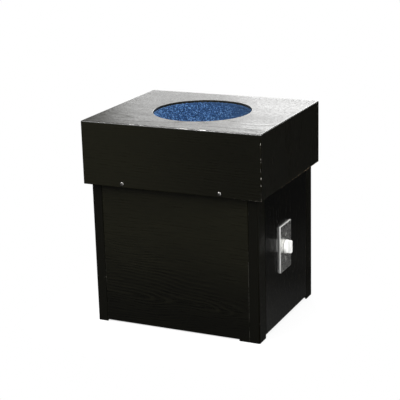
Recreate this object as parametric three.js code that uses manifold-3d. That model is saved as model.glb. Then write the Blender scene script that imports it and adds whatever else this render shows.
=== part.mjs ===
// Pool ball polisher: a lacquered oak cabinet under a deep overlapping lid with a round mouth.
// Balls drop through the mouth into a carpeted tub and ride on a carpeted turntable, which a
// vertical motor under the deck drives directly. A spring-wound timer on the right side runs it.
// Millimetres, +Z up, front towards -Y. The origin is on the floor, under the middle of the part.
import * as THREE from "three";
import { mergeVertices } from "three/addons/utils/BufferGeometryUtils.js";
import Module from "manifold-3d";

const wasm = await Module();
wasm.setup();

// Clearances
const SEAT = 0.3; // between a fixed piece and what it sits on or in
const RUNNING = 0.5; // round a piece that turns
const OVERRUN = 3; // how far a cutting tool runs past the faces it opens
const MERGE_DISTANCE = 0.001;

// Lid
const LID_WIDTH = 450.85; // 17 3/4 in
const LID_DEPTH = 374.65; // 14 3/4 in
const LID_TOP_THICKNESS = 19.05;
const LID_TONGUE = 6;
const LID_TONGUE_THICKNESS = 6.35;
const HOLE_RADIUS = 117.475;
const HOLE_EASING = 2;
const SKIRT_HEIGHT = 152.4;
const SKIRT_THICKNESS = 12.7;
const SKIRT_CLEARANCE = 1.3; // skirt to cabinet, all round
const SKIRT_TOP_EASING = 2.4;
const SKIRT_FOOT_EASING = 1.2;

// Lid screws
const LID_SCREW_SPREAD = 247;
const LID_SCREW_RISE = 8.8; // above the skirt's lower edge
const LID_SCREW_RADIUS = 2.4;
const LID_SCREW_LENGTH = 24;
const LID_SCREW_HEAD_RADIUS = 5;
const LID_SCREW_HEAD_HEIGHT = 3.2;
const RECESS_WIDTH = 1.2;
const RECESS_SPAN = 5;
const RECESS_DEPTH = 1.6;

// Cabinet
const POST_HEIGHT = 479.1;
const POST_FACE = 25.4; // seen from the front and back
const POST_FLANK = 38.1; // seen from the sides
const CORNER_RADIUS = 3;
const FOOT_HEIGHT = 4.2; // front and back panels off the floor
const SIDE_FOOT_HEIGHT = 9;
const FRONT_TOE_WIDTH = 26; // where the front panel runs down beside its right post
const PANEL_THICKNESS = 12.7;
const PANEL_TONGUE = 6;
const PANEL_TONGUE_THICKNESS = 5;
const SEAM_CHAMFER = 0.9;
const CLEAT_SIZE = 19;

// Tub and turntable
const BOWL_DEPTH = 125; // lid surface down to the turntable's carpet
const CARPET_THICKNESS = 6.35;
const CARPET_DROP = 4.8; // lid surface down to the wall carpet's top edge
const CARPET_EASING = 2;
const TUB_WALL = 6;
const TURNTABLE_THICKNESS = 12.7;
const TURNTABLE_GAP = 3; // turntable to wall carpet
const TURNTABLE_CHAMFER = 1.5;
const DECK_THICKNESS = 19.05;
const DECK_HOLE_RADIUS = 24;
const UNDER_TURNTABLE = 30; // turntable down to the deck

// Hub
const SHAFT_RADIUS = 7.94; // 5/8 in shaft
const SHAFT_FLAT = 1.2;
const HUB_FLANGE_RADIUS = 40;
const HUB_FLANGE_THICKNESS = 6;
const HUB_BOSS_RADIUS = 16;
const HUB_LENGTH = 27;
const HUB_FILLET = 3;
const SET_SCREW_RADIUS = 3;
const SET_SCREW_DROP = 14; // below the hub's top face
const SET_SCREW_SOCKET_RADIUS = 1.5;
const SET_SCREW_SOCKET_DEPTH = 3;
const SET_SCREW_SUNK = 1;
const TURNTABLE_SCREWS = 3;
const TURNTABLE_SCREW_CIRCLE = 27;
const TURNTABLE_SCREW_RADIUS = 3;
const TURNTABLE_SCREW_HEAD_RADIUS = 6;
const TURNTABLE_SCREW_HEAD_HEIGHT = 3.3;
const TURNTABLE_SCREW_SPARE = 1; // short of the hub flange's far face

// Motor
const MOTOR_RADIUS = 70;
const SHELL_LENGTH = 104;
const SHELL_WALL = 2;
const SHELL_SLOTS = 12;
const SLOT_WIDTH = 6;
const SLOT_HEIGHT = 22;
const SLOT_RISE = 8; // above the shell's lower end
const BELL_DEPTH = 24;
const BELL_WALL = 4;
const BELL_ROUNDING = 7;
const BELL_SPIGOT = 4;
const BELL_WINDOWS = 8;
const WINDOW_INNER_RADIUS = 29;
const WINDOW_OUTER_RADIUS = 50;
const WINDOW_SPAN_SHARE = 0.64; // of one window's pitch
const BEARING_RADIUS = 17.5;
const BEARING_HEIGHT = 11;
const RACE_DEPTH = 1.2; // shield face below the races
const RACE_WIDTH = 3;
const BEARING_BOSS_WALL = 4;
const BEARING_CAP = 3; // plate over the bearing
const LUG_RADIUS = 8.5;
const LUG_HEIGHT = 6;
const LUG_INSET = 10; // bolt circle inside the motor's radius
const AIR_GAP = 0.8;
const ROTOR_RADIUS = 43;
const CORE_LENGTH = 58;
const WINDING_HEAD = 13;
const WINDING_WIDTH = 15;
const WINDING_INSET = 3;
const END_RING_HEIGHT = 6;
const END_RING_WIDTH = 14;
const SHAFT_SHOULDER = 2.5;
const FAN_RADIUS = 40;
const FAN_HEIGHT = 9;
const FAN_BLADES = 9;
const FAN_BLADE_THICKNESS = 1.8;
const FAN_HUB_WALL = 5;
const FAN_GAP = 2;
const MOUNT_HEIGHT = 12;
const MOUNT_RADIUS = 9;
const MOUNT_WAIST = 1.6;
const MOTOR_BOLT_RADIUS = 3.175;
const BOLT_HEAD_RADIUS = 6.4;
const BOLT_HEAD_HEIGHT = 4.4;
const WASHER_RADIUS = 9;
const WASHER_THICKNESS = 1.6;
const BOLT_SPARE = 1.5; // short of the lug's lower end

// Capacitor
const CAPACITOR_RADIUS = 21;
const CAPACITOR_LENGTH = 78;
const CAPACITOR_EASING = 2.5;
const CAPACITOR_SIDE_GAP = 4; // strap to the cleat beside it
const CAPACITOR_BACK_GAP = 36; // can to the back panel
const TERMINAL_WIDTH = 6.35;
const TERMINAL_THICKNESS = 0.8;
const TERMINAL_HEIGHT = 9;
const TERMINAL_SPACING = 14;
const STRAP_THICKNESS = 1.5;
const STRAP_WIDTH = 16;
const STRAP_EAR = 13;
const STRAP_SCREW_RADIUS = 2;
const STRAP_SCREW_LENGTH = 14;
const STRAP_SCREW_HEAD_RADIUS = 4;
const STRAP_SCREW_HEAD_HEIGHT = 2.4;

// Timer switch, on the right side
const PLATE_CENTRE_Y = -14.3; // towards the front
const PLATE_DROP = 158.25; // skirt's lower edge down to the plate's centre
const PLATE_WIDTH = 69.85; // single gang, 2 3/4 in
const PLATE_HEIGHT = 114.3; // 4 1/2 in
const PLATE_DEPTH = 3.7;
const PLATE_WALL = 0.8;
const PLATE_ROUNDING = 1.2;
const PLATE_CORNER_RADIUS = 0.6; // of the flat face, inside the rounding
const PLATE_BUSH_RADIUS = 5.5;
const PLATE_SCREW_SPACING = 60.3;
const PLATE_SCREW_RADIUS = 1.8;
const PLATE_SCREW_HEAD_RADIUS = 3.9;
const PLATE_SCREW_HEAD_HEIGHT = 1.2;
const PLATE_SCREW_CROWN = 0.7;
const PLATE_SCREW_LENGTH = 12;
const BOX_WIDTH = 51;
const BOX_HEIGHT = 76;
const BOX_DEPTH = 62;
const BOX_WALL = 1.6;
const EAR_WIDTH = 20;
const EAR_LENGTH = 12;
const EAR_THICKNESS = 0.8;
const TIMER_WIDTH = 42;
const TIMER_HEIGHT = 58;
const TIMER_DEPTH = 36;
const TIMER_CHAMFER = 4;
const YOKE_WIDTH = 22;
const YOKE_LENGTH = 98;
const YOKE_THICKNESS = 1.2;
const YOKE_CORNER_RADIUS = 3;
const BUSH_RADIUS = 4.7;
const BUSH_HEIGHT = 1.4;
const TIMER_SHAFT_RADIUS = 3.1;
const TIMER_SHAFT_FLAT = 1;
const TIMER_SHAFT_SUNK = 9; // below the timer's bush
const KNOB_RADIUS = 17;
const KNOB_SKIRT_HEIGHT = 5;
const KNOB_REACH = 14.5;
const KNOB_DRAFT = 0.8;
const KNOB_EASING = 1.4;
const KNOB_GAP = 0.8; // plate to knob
const GRIP_WIDTH = 11;
const GRIP_LENGTH = 31;
const GRIP_EASING = 2.4; // in from the sides
const GRIP_CROWN = 4; // down from the outer face
const KNOB_BORE_DEPTH = 11;

// Cord outlet and inner leads
const GROMMET_BORE = 4.5;
const GROMMET_WALL = 3.5;
const GROMMET_FLANGE = 3.5;
const GROMMET_LIP = 3;
const GROMMET_EASING = 1.2;
const GROMMET_X = 120;
const GROMMET_Z = 60;
const LEAD_RADIUS = 3.2;
const LEAD_TAIL = 4; // how far a lead runs on inside what it enters
const LEAD_ROOM = 1.2; // round a lead where it goes through sheet metal
const MOTOR_LEAD_SAG = 26;
const MOTOR_LEAD_DROP = 20; // below the timer plate's centre
const LEAD_ENTRY_BELOW = 17; // below the shell's upper end
const LEAD_BEND = 16;

// Facets
const MOUTH_ROUND = 64;
const TUB_ROUND = 44;
const MOTOR_ROUND = 24;
const SMALL_ROUND = 16;
const SCREW_ROUND = 12;
const EASING_STEPS = 2;
const BOARD_EDGE_STEPS = 3;
const LEAD_SIDES = 8;
const LEAD_STEPS = 12;

// Places worked out from the sizes
const bodyWidth = LID_WIDTH - 2 * (SKIRT_THICKNESS + SKIRT_CLEARANCE);
const bodyDepth = LID_DEPTH - 2 * (SKIRT_THICKNESS + SKIRT_CLEARANCE);
const lidUnderside = POST_HEIGHT + SEAT;
const lidSurface = lidUnderside + LID_TOP_THICKNESS;
const skirtFoot = lidSurface - SKIRT_HEIGHT;
const plateCentreZ = skirtFoot - PLATE_DROP;
const carpetTop = lidSurface - BOWL_DEPTH;
const turntableTop = carpetTop - CARPET_THICKNESS - SEAT;
const turntableUnderside = turntableTop - TURNTABLE_THICKNESS;
const deckTop = turntableUnderside - UNDER_TURNTABLE;
const deckUnderside = deckTop - DECK_THICKNESS;
const wallCarpetRadius = HOLE_RADIUS - SEAT - CARPET_THICKNESS;
const turntableRadius = wallCarpetRadius - TURNTABLE_GAP;
const hubTop = turntableUnderside - SEAT;
const lugTop = deckUnderside - MOUNT_HEIGHT - 2 * SEAT;
const topBellPlate = lugTop - LUG_HEIGHT;
const topBellRim = topBellPlate - BELL_DEPTH;
const shellTop = topBellRim - SEAT;
const shellFoot = shellTop - SHELL_LENGTH;
const bottomBellRim = shellFoot - SEAT;
const bottomBellPlate = bottomBellRim - BELL_DEPTH;
const coreMiddle = (shellTop + shellFoot) / 2;
const bearingSeat = BELL_DEPTH - BEARING_CAP - BEARING_HEIGHT - SEAT; // above a bell's rim
const boltCircle = MOTOR_RADIUS - LUG_INSET;
const shellBore = MOTOR_RADIUS - SHELL_WALL;
const knobBase = PLATE_DEPTH + KNOB_GAP;

// Small helpers
const X_AXIS = new THREE.Vector3(1, 0, 0);
const Y_AXIS = new THREE.Vector3(0, 1, 0);
const Z_AXIS = new THREE.Vector3(0, 0, 1);
const QUARTER = Math.PI / 2;
const turns = (count) => Array.from({ length: count }, (_, i) => (i * 2 * Math.PI) / count);

// A closed geometry as a solid that can be cut and joined.
function solidOf(geometry) {
  const bare = geometry.clone();
  bare.deleteAttribute("normal");
  bare.deleteAttribute("uv");
  const merged = mergeVertices(bare, MERGE_DISTANCE);
  const mesh = new wasm.Mesh({
    numProp: 3,
    vertProperties: merged.attributes.position.array,
    triVerts: new Uint32Array(merged.index.array),
  });
  return new wasm.Manifold(mesh);
}

function geometryOf(solid) {
  const mesh = solid.getMesh();
  const geometry = new THREE.BufferGeometry();
  const points = new Float32Array(mesh.vertProperties);
  geometry.setAttribute("position", new THREE.BufferAttribute(points, 3));
  geometry.setIndex(new THREE.BufferAttribute(new Uint32Array(mesh.triVerts), 1));
  geometry.computeVertexNormals();
  return geometry;
}

const joined = (pieces) => geometryOf(pieces.map(solidOf).reduce((all, one) => all.add(one)));

const without = (body, tools) =>
  geometryOf(tools.map(solidOf).reduce((left, tool) => left.subtract(tool), solidOf(body)));

// A flat outline, drawn through [x, y] points.
const outline = (points) => new THREE.Shape(points.map(([x, y]) => new THREE.Vector2(x, y)));

function roundedRectangle(width, height, radius) {
  const [a, b] = [width / 2, height / 2];
  const shape = new THREE.Shape();
  shape.absarc(a - radius, -b + radius, radius, -QUARTER, 0);
  shape.absarc(a - radius, b - radius, radius, 0, QUARTER);
  shape.absarc(-a + radius, b - radius, radius, QUARTER, 2 * QUARTER);
  shape.absarc(-a + radius, -b + radius, radius, 2 * QUARTER, 3 * QUARTER);
  return shape;
}

// An outline raised from one height to another.
function prism(shape, from, to, curveSegments = 1) {
  const options = { depth: to - from, bevelEnabled: false, curveSegments };
  return new THREE.ExtrudeGeometry(shape, options).translate(0, 0, from);
}

function block(width, depth, height, [x, y, z]) {
  return new THREE.BoxGeometry(width, depth, height).translate(x, y, z + height / 2);
}

// A [radius, height] profile turned about Z. Its winding is set so that faces point out.
function turned(profile, segments) {
  const doubleArea = profile.reduce((sum, [r, z], i) => {
    const [nextR, nextZ] = profile[(i + 1) % profile.length];
    return sum + r * nextZ - nextR * z;
  }, 0);
  const ordered = doubleArea > 0 ? profile : [...profile].reverse();
  const onAxis = ordered.filter(([r]) => r === 0).length;
  let points = ordered;
  if (onAxis) {
    // start where the profile leaves the axis
    const last = ordered.findIndex(([r], i) => {
      const [nextR] = ordered[(i + 1) % ordered.length];
      return r === 0 && nextR > 0;
    });
    points = [...ordered.slice(last), ...ordered.slice(0, last)];
  } else {
    points = [...ordered, ordered[0]];
  }
  const vectors = points.map(([r, z]) => new THREE.Vector2(r, z));
  return new THREE.LatheGeometry(vectors, segments).rotateX(QUARTER);
}

const rod = (radius, from, to, segments = SMALL_ROUND) =>
  turned([[0, from], [radius, from], [radius, to], [0, to]], segments);

// Points of a quarter circle from one angle to another, for eased edges in a profile.
function easing([x, y], radius, start, end, steps = EASING_STEPS) {
  return Array.from({ length: steps + 1 }, (_, i) => {
    const angle = start + ((end - start) * i) / steps;
    return [x + radius * Math.cos(angle), y + radius * Math.sin(angle)];
  });
}

// A tube along a smooth curve through points.
function lead(points) {
  const path = new THREE.CatmullRomCurve3(points.map((p) => new THREE.Vector3(...p)));
  const section = new THREE.Shape();
  section.absarc(0, 0, LEAD_RADIUS, 0, 2 * Math.PI);
  const options = { steps: LEAD_STEPS, extrudePath: path, curveSegments: LEAD_SIDES / 2 };
  return new THREE.ExtrudeGeometry(section, options);
}

// Finishes
const finish = (color, roughness, metalness = 0) =>
  new THREE.MeshStandardMaterial({ color, roughness, metalness });
const BLACK_OAK = finish(0x161412, 0.35);
const PLYWOOD = finish(0xb48a5c, 0.7);
const BLUE_CARPET = finish(0x1f4f9a, 0.95);
const DARK_SCREW = finish(0x6f6d68, 0.35, 1);
const PLATE_STEEL = finish(0xa8a8a4, 0.3, 1);
const GALVANISED = finish(0x9a9c9e, 0.5, 1);
const MACHINED_STEEL = finish(0xb9bbbd, 0.3, 1);
const CAST_ALUMINIUM = finish(0xa6a8aa, 0.5, 1);
const MOTOR_PAINT = finish(0x23272b, 0.45);
const CORE_STEEL = finish(0x5d5a55, 0.6, 1);
const WHITE_PLASTIC = finish(0xf2f1ec, 0.25);
const BLACK_PLASTIC = finish(0x151515, 0.5);
const BLACK_RUBBER = finish(0x101010, 0.8);

const part = new THREE.Group();

function add(name, geometry, material, parent = part) {
  const mesh = new THREE.Mesh(geometry, material);
  mesh.name = name;
  parent.add(mesh);
  return mesh;
}

// The four walls share one layout: each is drawn as the front wall and turned about Z.
const WALLS = [
  { side: "front", angle: 0, reach: bodyDepth / 2, skirtReach: LID_DEPTH / 2, across: "width" },
  { side: "right", angle: QUARTER, reach: bodyWidth / 2, skirtReach: LID_WIDTH / 2, across: "depth" },
  { side: "back", angle: 2 * QUARTER, reach: bodyDepth / 2, skirtReach: LID_DEPTH / 2, across: "width" },
  { side: "left", angle: -QUARTER, reach: bodyWidth / 2, skirtReach: LID_WIDTH / 2, across: "depth" },
];

// A group whose own -Y side is a wall's outer face, with that face at y = 0.
function wallGroup(angle, reach) {
  const group = new THREE.Group();
  group.rotation.z = angle;
  group.position.set(reach * Math.sin(angle), -reach * Math.cos(angle), 0);
  part.add(group);
  return group;
}

// Corner posts: one section with a groove for each panel's tongue, run down to form the feet.
function postOutline(xSign, ySign) {
  const grooveNear = (PANEL_THICKNESS - PANEL_TONGUE_THICKNESS) / 2 - SEAT;
  const grooveFar = PANEL_THICKNESS - grooveNear;
  const grooveDepth = PANEL_TONGUE + SEAT;
  const corner = easing(
    [CORNER_RADIUS, CORNER_RADIUS], CORNER_RADIUS, 2 * QUARTER, 3 * QUARTER, BOARD_EDGE_STEPS,
  );
  const points = [
    ...corner,
    [POST_FACE - SEAM_CHAMFER, 0],
    [POST_FACE, SEAM_CHAMFER],
    [POST_FACE, grooveNear],
    [POST_FACE - grooveDepth, grooveNear],
    [POST_FACE - grooveDepth, grooveFar],
    [POST_FACE, grooveFar],
    [POST_FACE, POST_FLANK],
    [grooveFar, POST_FLANK],
    [grooveFar, POST_FLANK - grooveDepth],
    [grooveNear, POST_FLANK - grooveDepth],
    [grooveNear, POST_FLANK],
    [SEAM_CHAMFER, POST_FLANK],
    [0, POST_FLANK - SEAM_CHAMFER],
  ];
  const [outX, outY] = [bodyWidth / 2, bodyDepth / 2];
  return outline(points.map(([x, y]) => [xSign * (outX - x), ySign * (outY - y)]));
}

function addPosts() {
  for (const [end, ySign] of [["front", -1], ["back", 1]]) {
    for (const [side, xSign] of [["left", -1], ["right", 1]]) {
      add(`post_${end}_${side}`, prism(postOutline(xSign, ySign), 0, POST_HEIGHT), BLACK_OAK);
    }
  }
}

// Panels: flat boards with a tongue down each edge, raised off the floor between the posts.
function panelOutline(across) {
  const half = across / 2;
  const tongueNear = (PANEL_THICKNESS - PANEL_TONGUE_THICKNESS) / 2;
  const tongueFar = PANEL_THICKNESS - tongueNear;
  const edge = [
    [half - SEAM_CHAMFER, 0],
    [half, SEAM_CHAMFER],
    [half, tongueNear],
    [half + PANEL_TONGUE, tongueNear],
    [half + PANEL_TONGUE, tongueFar],
    [half, tongueFar],
    [half, PANEL_THICKNESS],
  ];
  return outline([...edge, ...edge.map(([x, y]) => [-x, y]).reverse()]);
}

const panelAcross = {
  width: bodyWidth - 2 * (POST_FACE + SEAT),
  depth: bodyDepth - 2 * (POST_FLANK + SEAT),
};

const panelFoot = { width: FOOT_HEIGHT, depth: SIDE_FOOT_HEIGHT };

// A hole square to the front wall, drilled from its outer face.
const drill = (radius, depth, x, z, segments = SCREW_ROUND) =>
  rod(radius, -OVERRUN, depth, segments).rotateX(-QUARTER).translate(x, 0, z);

// Lifts the front panel off the floor all along, except for the toe beside its right post.
function toeCut() {
  const left = -panelAcross.width / 2 - PANEL_TONGUE - OVERRUN;
  const right = panelAcross.width / 2 - FRONT_TOE_WIDTH;
  const place = [(left + right) / 2, PANEL_THICKNESS / 2, -OVERRUN];
  return block(right - left, PANEL_THICKNESS + 2 * OVERRUN, FOOT_HEIGHT + OVERRUN, place);
}

function panelOpenings(side) {
  if (side === "front" || side === "back") {
    const depth = LID_SCREW_LENGTH - SKIRT_THICKNESS - SKIRT_CLEARANCE + SEAT;
    const pilots = [-1, 1].map((sign) =>
      drill(LID_SCREW_RADIUS + SEAT, depth, (sign * LID_SCREW_SPREAD) / 2, skirtFoot + LID_SCREW_RISE),
    );
    if (side === "front") return [...pilots, toeCut()];
    const outlet = drill(
      GROMMET_BORE + GROMMET_WALL + SEAT,
      PANEL_THICKNESS + OVERRUN,
      -GROMMET_X,
      GROMMET_Z,
      SMALL_ROUND,
    );
    return [...pilots, outlet];
  }
  if (side === "right") {
    const [width, height] = [BOX_WIDTH + 2 * SEAT, BOX_HEIGHT + 2 * SEAT];
    const through = PANEL_THICKNESS + 2 * OVERRUN;
    const place = [PLATE_CENTRE_Y, PANEL_THICKNESS / 2, plateCentreZ - height / 2];
    return [block(width, through, height, place)];
  }
  return [];
}

function addPanels() {
  for (const { side, angle, reach, across } of WALLS) {
    const foot = side === "front" ? 0 : panelFoot[across];
    const board = prism(panelOutline(panelAcross[across]), foot, POST_HEIGHT);
    const tools = panelOpenings(side);
    const geometry = tools.length ? without(board, tools) : board;
    add(`${side}_panel`, geometry, BLACK_OAK, wallGroup(angle, reach));
  }
}

// Lid: four mitred skirt boards round a top that is tongued into them.
const tongueFoot = (LID_TOP_THICKNESS - LID_TONGUE_THICKNESS) / 2; // above the lid's underside

function skirtBoard(length) {
  const grooveFoot = lidUnderside + tongueFoot - SEAT;
  const grooveHead = grooveFoot + LID_TONGUE_THICKNESS + 2 * SEAT;
  const grooveFloor = SKIRT_THICKNESS - LID_TONGUE - SEAT;
  const [top, low] = [SKIRT_TOP_EASING, SKIRT_FOOT_EASING];
  const head = easing([top, lidSurface - top], top, 2 * QUARTER, QUARTER, BOARD_EDGE_STEPS);
  const foot = easing([low, skirtFoot + low], low, 3 * QUARTER, 2 * QUARTER, BOARD_EDGE_STEPS);
  const section = outline([
    ...foot,
    ...head,
    [SKIRT_THICKNESS, lidSurface],
    [SKIRT_THICKNESS, grooveHead],
    [grooveFloor, grooveHead],
    [grooveFloor, grooveFoot],
    [SKIRT_THICKNESS, grooveFoot],
    [SKIRT_THICKNESS, skirtFoot],
  ]);
  const along = new THREE.Matrix4().makeBasis(Y_AXIS, Z_AXIS, X_AXIS);
  const board = prism(section, -length / 2, length / 2).applyMatrix4(along);
  const points = board.attributes.position;
  for (let i = 0; i < points.count; i += 1) {
    // the mitre: each end draws in by as much as the point is behind the outer face
    const inward = -Math.sign(points.getX(i)) * points.getY(i);
    points.setX(i, points.getX(i) + inward);
  }
  return board;
}

function addSkirts() {
  const lengths = { width: LID_WIDTH - 2 * SEAT, depth: LID_DEPTH - 2 * SEAT };
  for (const { side, angle, skirtReach, across } of WALLS) {
    const board = skirtBoard(lengths[across]);
    const holes = [-1, 1].map((sign) =>
      drill(
        LID_SCREW_RADIUS + SEAT,
        SKIRT_THICKNESS + OVERRUN,
        (sign * LID_SCREW_SPREAD) / 2,
        skirtFoot + LID_SCREW_RISE,
      ),
    );
    const geometry = across === "width" ? without(board, holes) : board;
    add(`lid_skirt_${side}`, geometry, BLACK_OAK, wallGroup(angle, skirtReach));
  }
}

function addLidTop() {
  const inset = 2 * (SKIRT_THICKNESS + SEAT);
  const [width, depth] = [LID_WIDTH - inset, LID_DEPTH - inset];
  const board = block(width, depth, LID_TOP_THICKNESS, [0, 0, lidUnderside]);
  const tongue = block(width + 2 * LID_TONGUE, depth + 2 * LID_TONGUE, LID_TONGUE_THICKNESS, [
    0, 0, lidUnderside + tongueFoot,
  ]);
  const eased = easing(
    [HOLE_RADIUS + HOLE_EASING, lidSurface - HOLE_EASING], HOLE_EASING, 2 * QUARTER, QUARTER,
  );
  const mouth = turned(
    [
      [0, lidUnderside - OVERRUN],
      [HOLE_RADIUS, lidUnderside - OVERRUN],
      ...eased,
      [HOLE_RADIUS + HOLE_EASING, lidSurface + OVERRUN],
      [0, lidSurface + OVERRUN],
    ],
    MOUTH_ROUND,
  );
  add("lid_top", without(joined([board, tongue]), [mouth]), BLACK_OAK);
}

// A pan-head screw along -Z, its head's underside at z = 0, with a cross recess.
function panHeadScrew() {
  const shoulder = LID_SCREW_HEAD_HEIGHT / 2;
  const crown = easing([0, 0], 1, 0, QUARTER).map(([x, y]) => [
    x * LID_SCREW_HEAD_RADIUS,
    shoulder + y * (LID_SCREW_HEAD_HEIGHT - shoulder),
  ]);
  crown[crown.length - 1][0] = 0;
  const tip = LID_SCREW_RADIUS;
  const blank = turned(
    [
      [0, -LID_SCREW_LENGTH],
      [LID_SCREW_RADIUS, tip - LID_SCREW_LENGTH],
      [LID_SCREW_RADIUS, 0],
      [LID_SCREW_HEAD_RADIUS, 0],
      ...crown,
    ],
    SCREW_ROUND,
  );
  const floor = LID_SCREW_HEAD_HEIGHT - RECESS_DEPTH;
  const slots = [
    block(RECESS_SPAN, RECESS_WIDTH, RECESS_DEPTH + OVERRUN, [0, 0, floor]),
    block(RECESS_WIDTH, RECESS_SPAN, RECESS_DEPTH + OVERRUN, [0, 0, floor]),
  ];
  return without(blank, slots);
}

function addLidScrews() {
  for (const { side, angle, skirtReach, across } of WALLS) {
    if (across === "width") {
      const wall = wallGroup(angle, skirtReach);
      for (const sign of [-1, 1]) {
        const named = Math.cos(angle) * sign > 0 ? "right" : "left";
        const screw = add(`lid_screw_${side}_${named}`, panHeadScrew(), DARK_SCREW, wall);
        screw.rotation.x = QUARTER;
        screw.position.set((sign * LID_SCREW_SPREAD) / 2, -SEAT, skirtFoot + LID_SCREW_RISE);
      }
    }
  }
}

// Deck: a board notched round the posts, which carries the tub above and the motor below.
function addDeck() {
  const [reachX, reachY] = [bodyWidth / 2 - SEAT, bodyDepth / 2 - SEAT];
  const [a, b] = [reachX - PANEL_THICKNESS, reachY - PANEL_THICKNESS];
  const [notchX, notchY] = [reachX - POST_FACE, reachY - POST_FLANK];
  const quarter = [[a, notchY], [notchX, notchY], [notchX, b]];
  const mirrored = (xSign, ySign) => quarter.map(([x, y]) => [xSign * x, ySign * y]);
  const board = outline([
    ...mirrored(1, 1),
    ...mirrored(-1, 1).reverse(),
    ...mirrored(-1, -1),
    ...mirrored(1, -1).reverse(),
  ]);
  const hole = rod(DECK_HOLE_RADIUS, deckUnderside - OVERRUN, deckTop + OVERRUN, MOTOR_ROUND);
  const bolts = boltPlaces.map(([x, y]) =>
    rod(MOTOR_BOLT_RADIUS + SEAT, deckUnderside - OVERRUN, deckTop + OVERRUN, SCREW_ROUND)
      .translate(x, y, 0),
  );
  const pilots = strapScrewPlaces.map(([x, y]) =>
    rod(STRAP_SCREW_RADIUS + SEAT, deckUnderside - OVERRUN, strapFoot + STRAP_SCREW_LENGTH, SCREW_ROUND)
      .translate(x, y, 0),
  );
  const geometry = without(prism(board, deckUnderside, deckTop), [hole, ...bolts, ...pilots]);
  add("motor_deck", geometry, PLYWOOD);
}

function addCleats() {
  const length = bodyDepth - 2 * (POST_FLANK + SEAT);
  const x = bodyWidth / 2 - PANEL_THICKNESS - SEAT - CLEAT_SIZE / 2;
  for (const [side, sign] of [["left", -1], ["right", 1]]) {
    const place = [sign * x, 0, deckUnderside - SEAT - CLEAT_SIZE];
    add(`deck_cleat_${side}`, block(CLEAT_SIZE, length, CLEAT_SIZE, place), PLYWOOD);
  }
}

// Tub: a plain ring between deck and lid, lined with a strip of carpet that runs on up the mouth.
function addTub() {
  const outer = HOLE_RADIUS + TUB_WALL;
  const [foot, head] = [deckTop + SEAT, lidUnderside - SEAT];
  const ring = [[HOLE_RADIUS, foot], [outer, foot], [outer, head], [HOLE_RADIUS, head]];
  add("tub_wall", turned(ring, TUB_ROUND), PLYWOOD);

  const backing = HOLE_RADIUS - SEAT;
  const edge = lidSurface - CARPET_DROP;
  const eased = easing(
    [wallCarpetRadius + CARPET_EASING, edge - CARPET_EASING], CARPET_EASING, QUARTER, 2 * QUARTER,
  );
  const strip = [[wallCarpetRadius, foot], [backing, foot], [backing, edge], ...eased];
  add("wall_carpet", turned(strip, TUB_ROUND), BLUE_CARPET);
}

const turntableScrewPlaces = turns(TURNTABLE_SCREWS).map((angle) => [
  TURNTABLE_SCREW_CIRCLE * Math.cos(angle),
  TURNTABLE_SCREW_CIRCLE * Math.sin(angle),
]);

// A countersunk screw's profile from its head's top down, grown by a clearance when it is a hole.
function countersunk(head, length, gap) {
  const shank = TURNTABLE_SCREW_RADIUS + gap;
  const brim = TURNTABLE_SCREW_HEAD_RADIUS + gap;
  return [
    [0, head - length],
    [shank, head - length],
    [shank, head - TURNTABLE_SCREW_HEAD_HEIGHT],
    [brim, head],
    [0, head],
  ];
}

function addTurntable() {
  const r = turntableRadius;
  const c = TURNTABLE_CHAMFER;
  const disc = turned(
    [
      [0, turntableUnderside],
      [r - c, turntableUnderside],
      [r, turntableUnderside + c],
      [r, turntableTop - c],
      [r - c, turntableTop],
      [0, turntableTop],
    ],
    TUB_ROUND,
  );
  const sink = turntableTop + OVERRUN;
  const holes = turntableScrewPlaces.map(([x, y]) => {
    const brim = TURNTABLE_SCREW_HEAD_RADIUS + SEAT;
    const bit = countersunk(turntableTop, TURNTABLE_THICKNESS + OVERRUN, SEAT);
    bit.splice(bit.length - 1, 1, [brim, sink], [0, sink]);
    return turned(bit, SCREW_ROUND).translate(x, y, 0);
  });
  add("turntable", without(disc, holes), PLYWOOD);

  const foot = turntableTop + SEAT;
  const rim = easing([r - CARPET_EASING, carpetTop - CARPET_EASING], CARPET_EASING, 0, QUARTER);
  add("turntable_carpet", turned([[0, foot], [r, foot], ...rim, [0, carpetTop]], TUB_ROUND), BLUE_CARPET);
}

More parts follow.
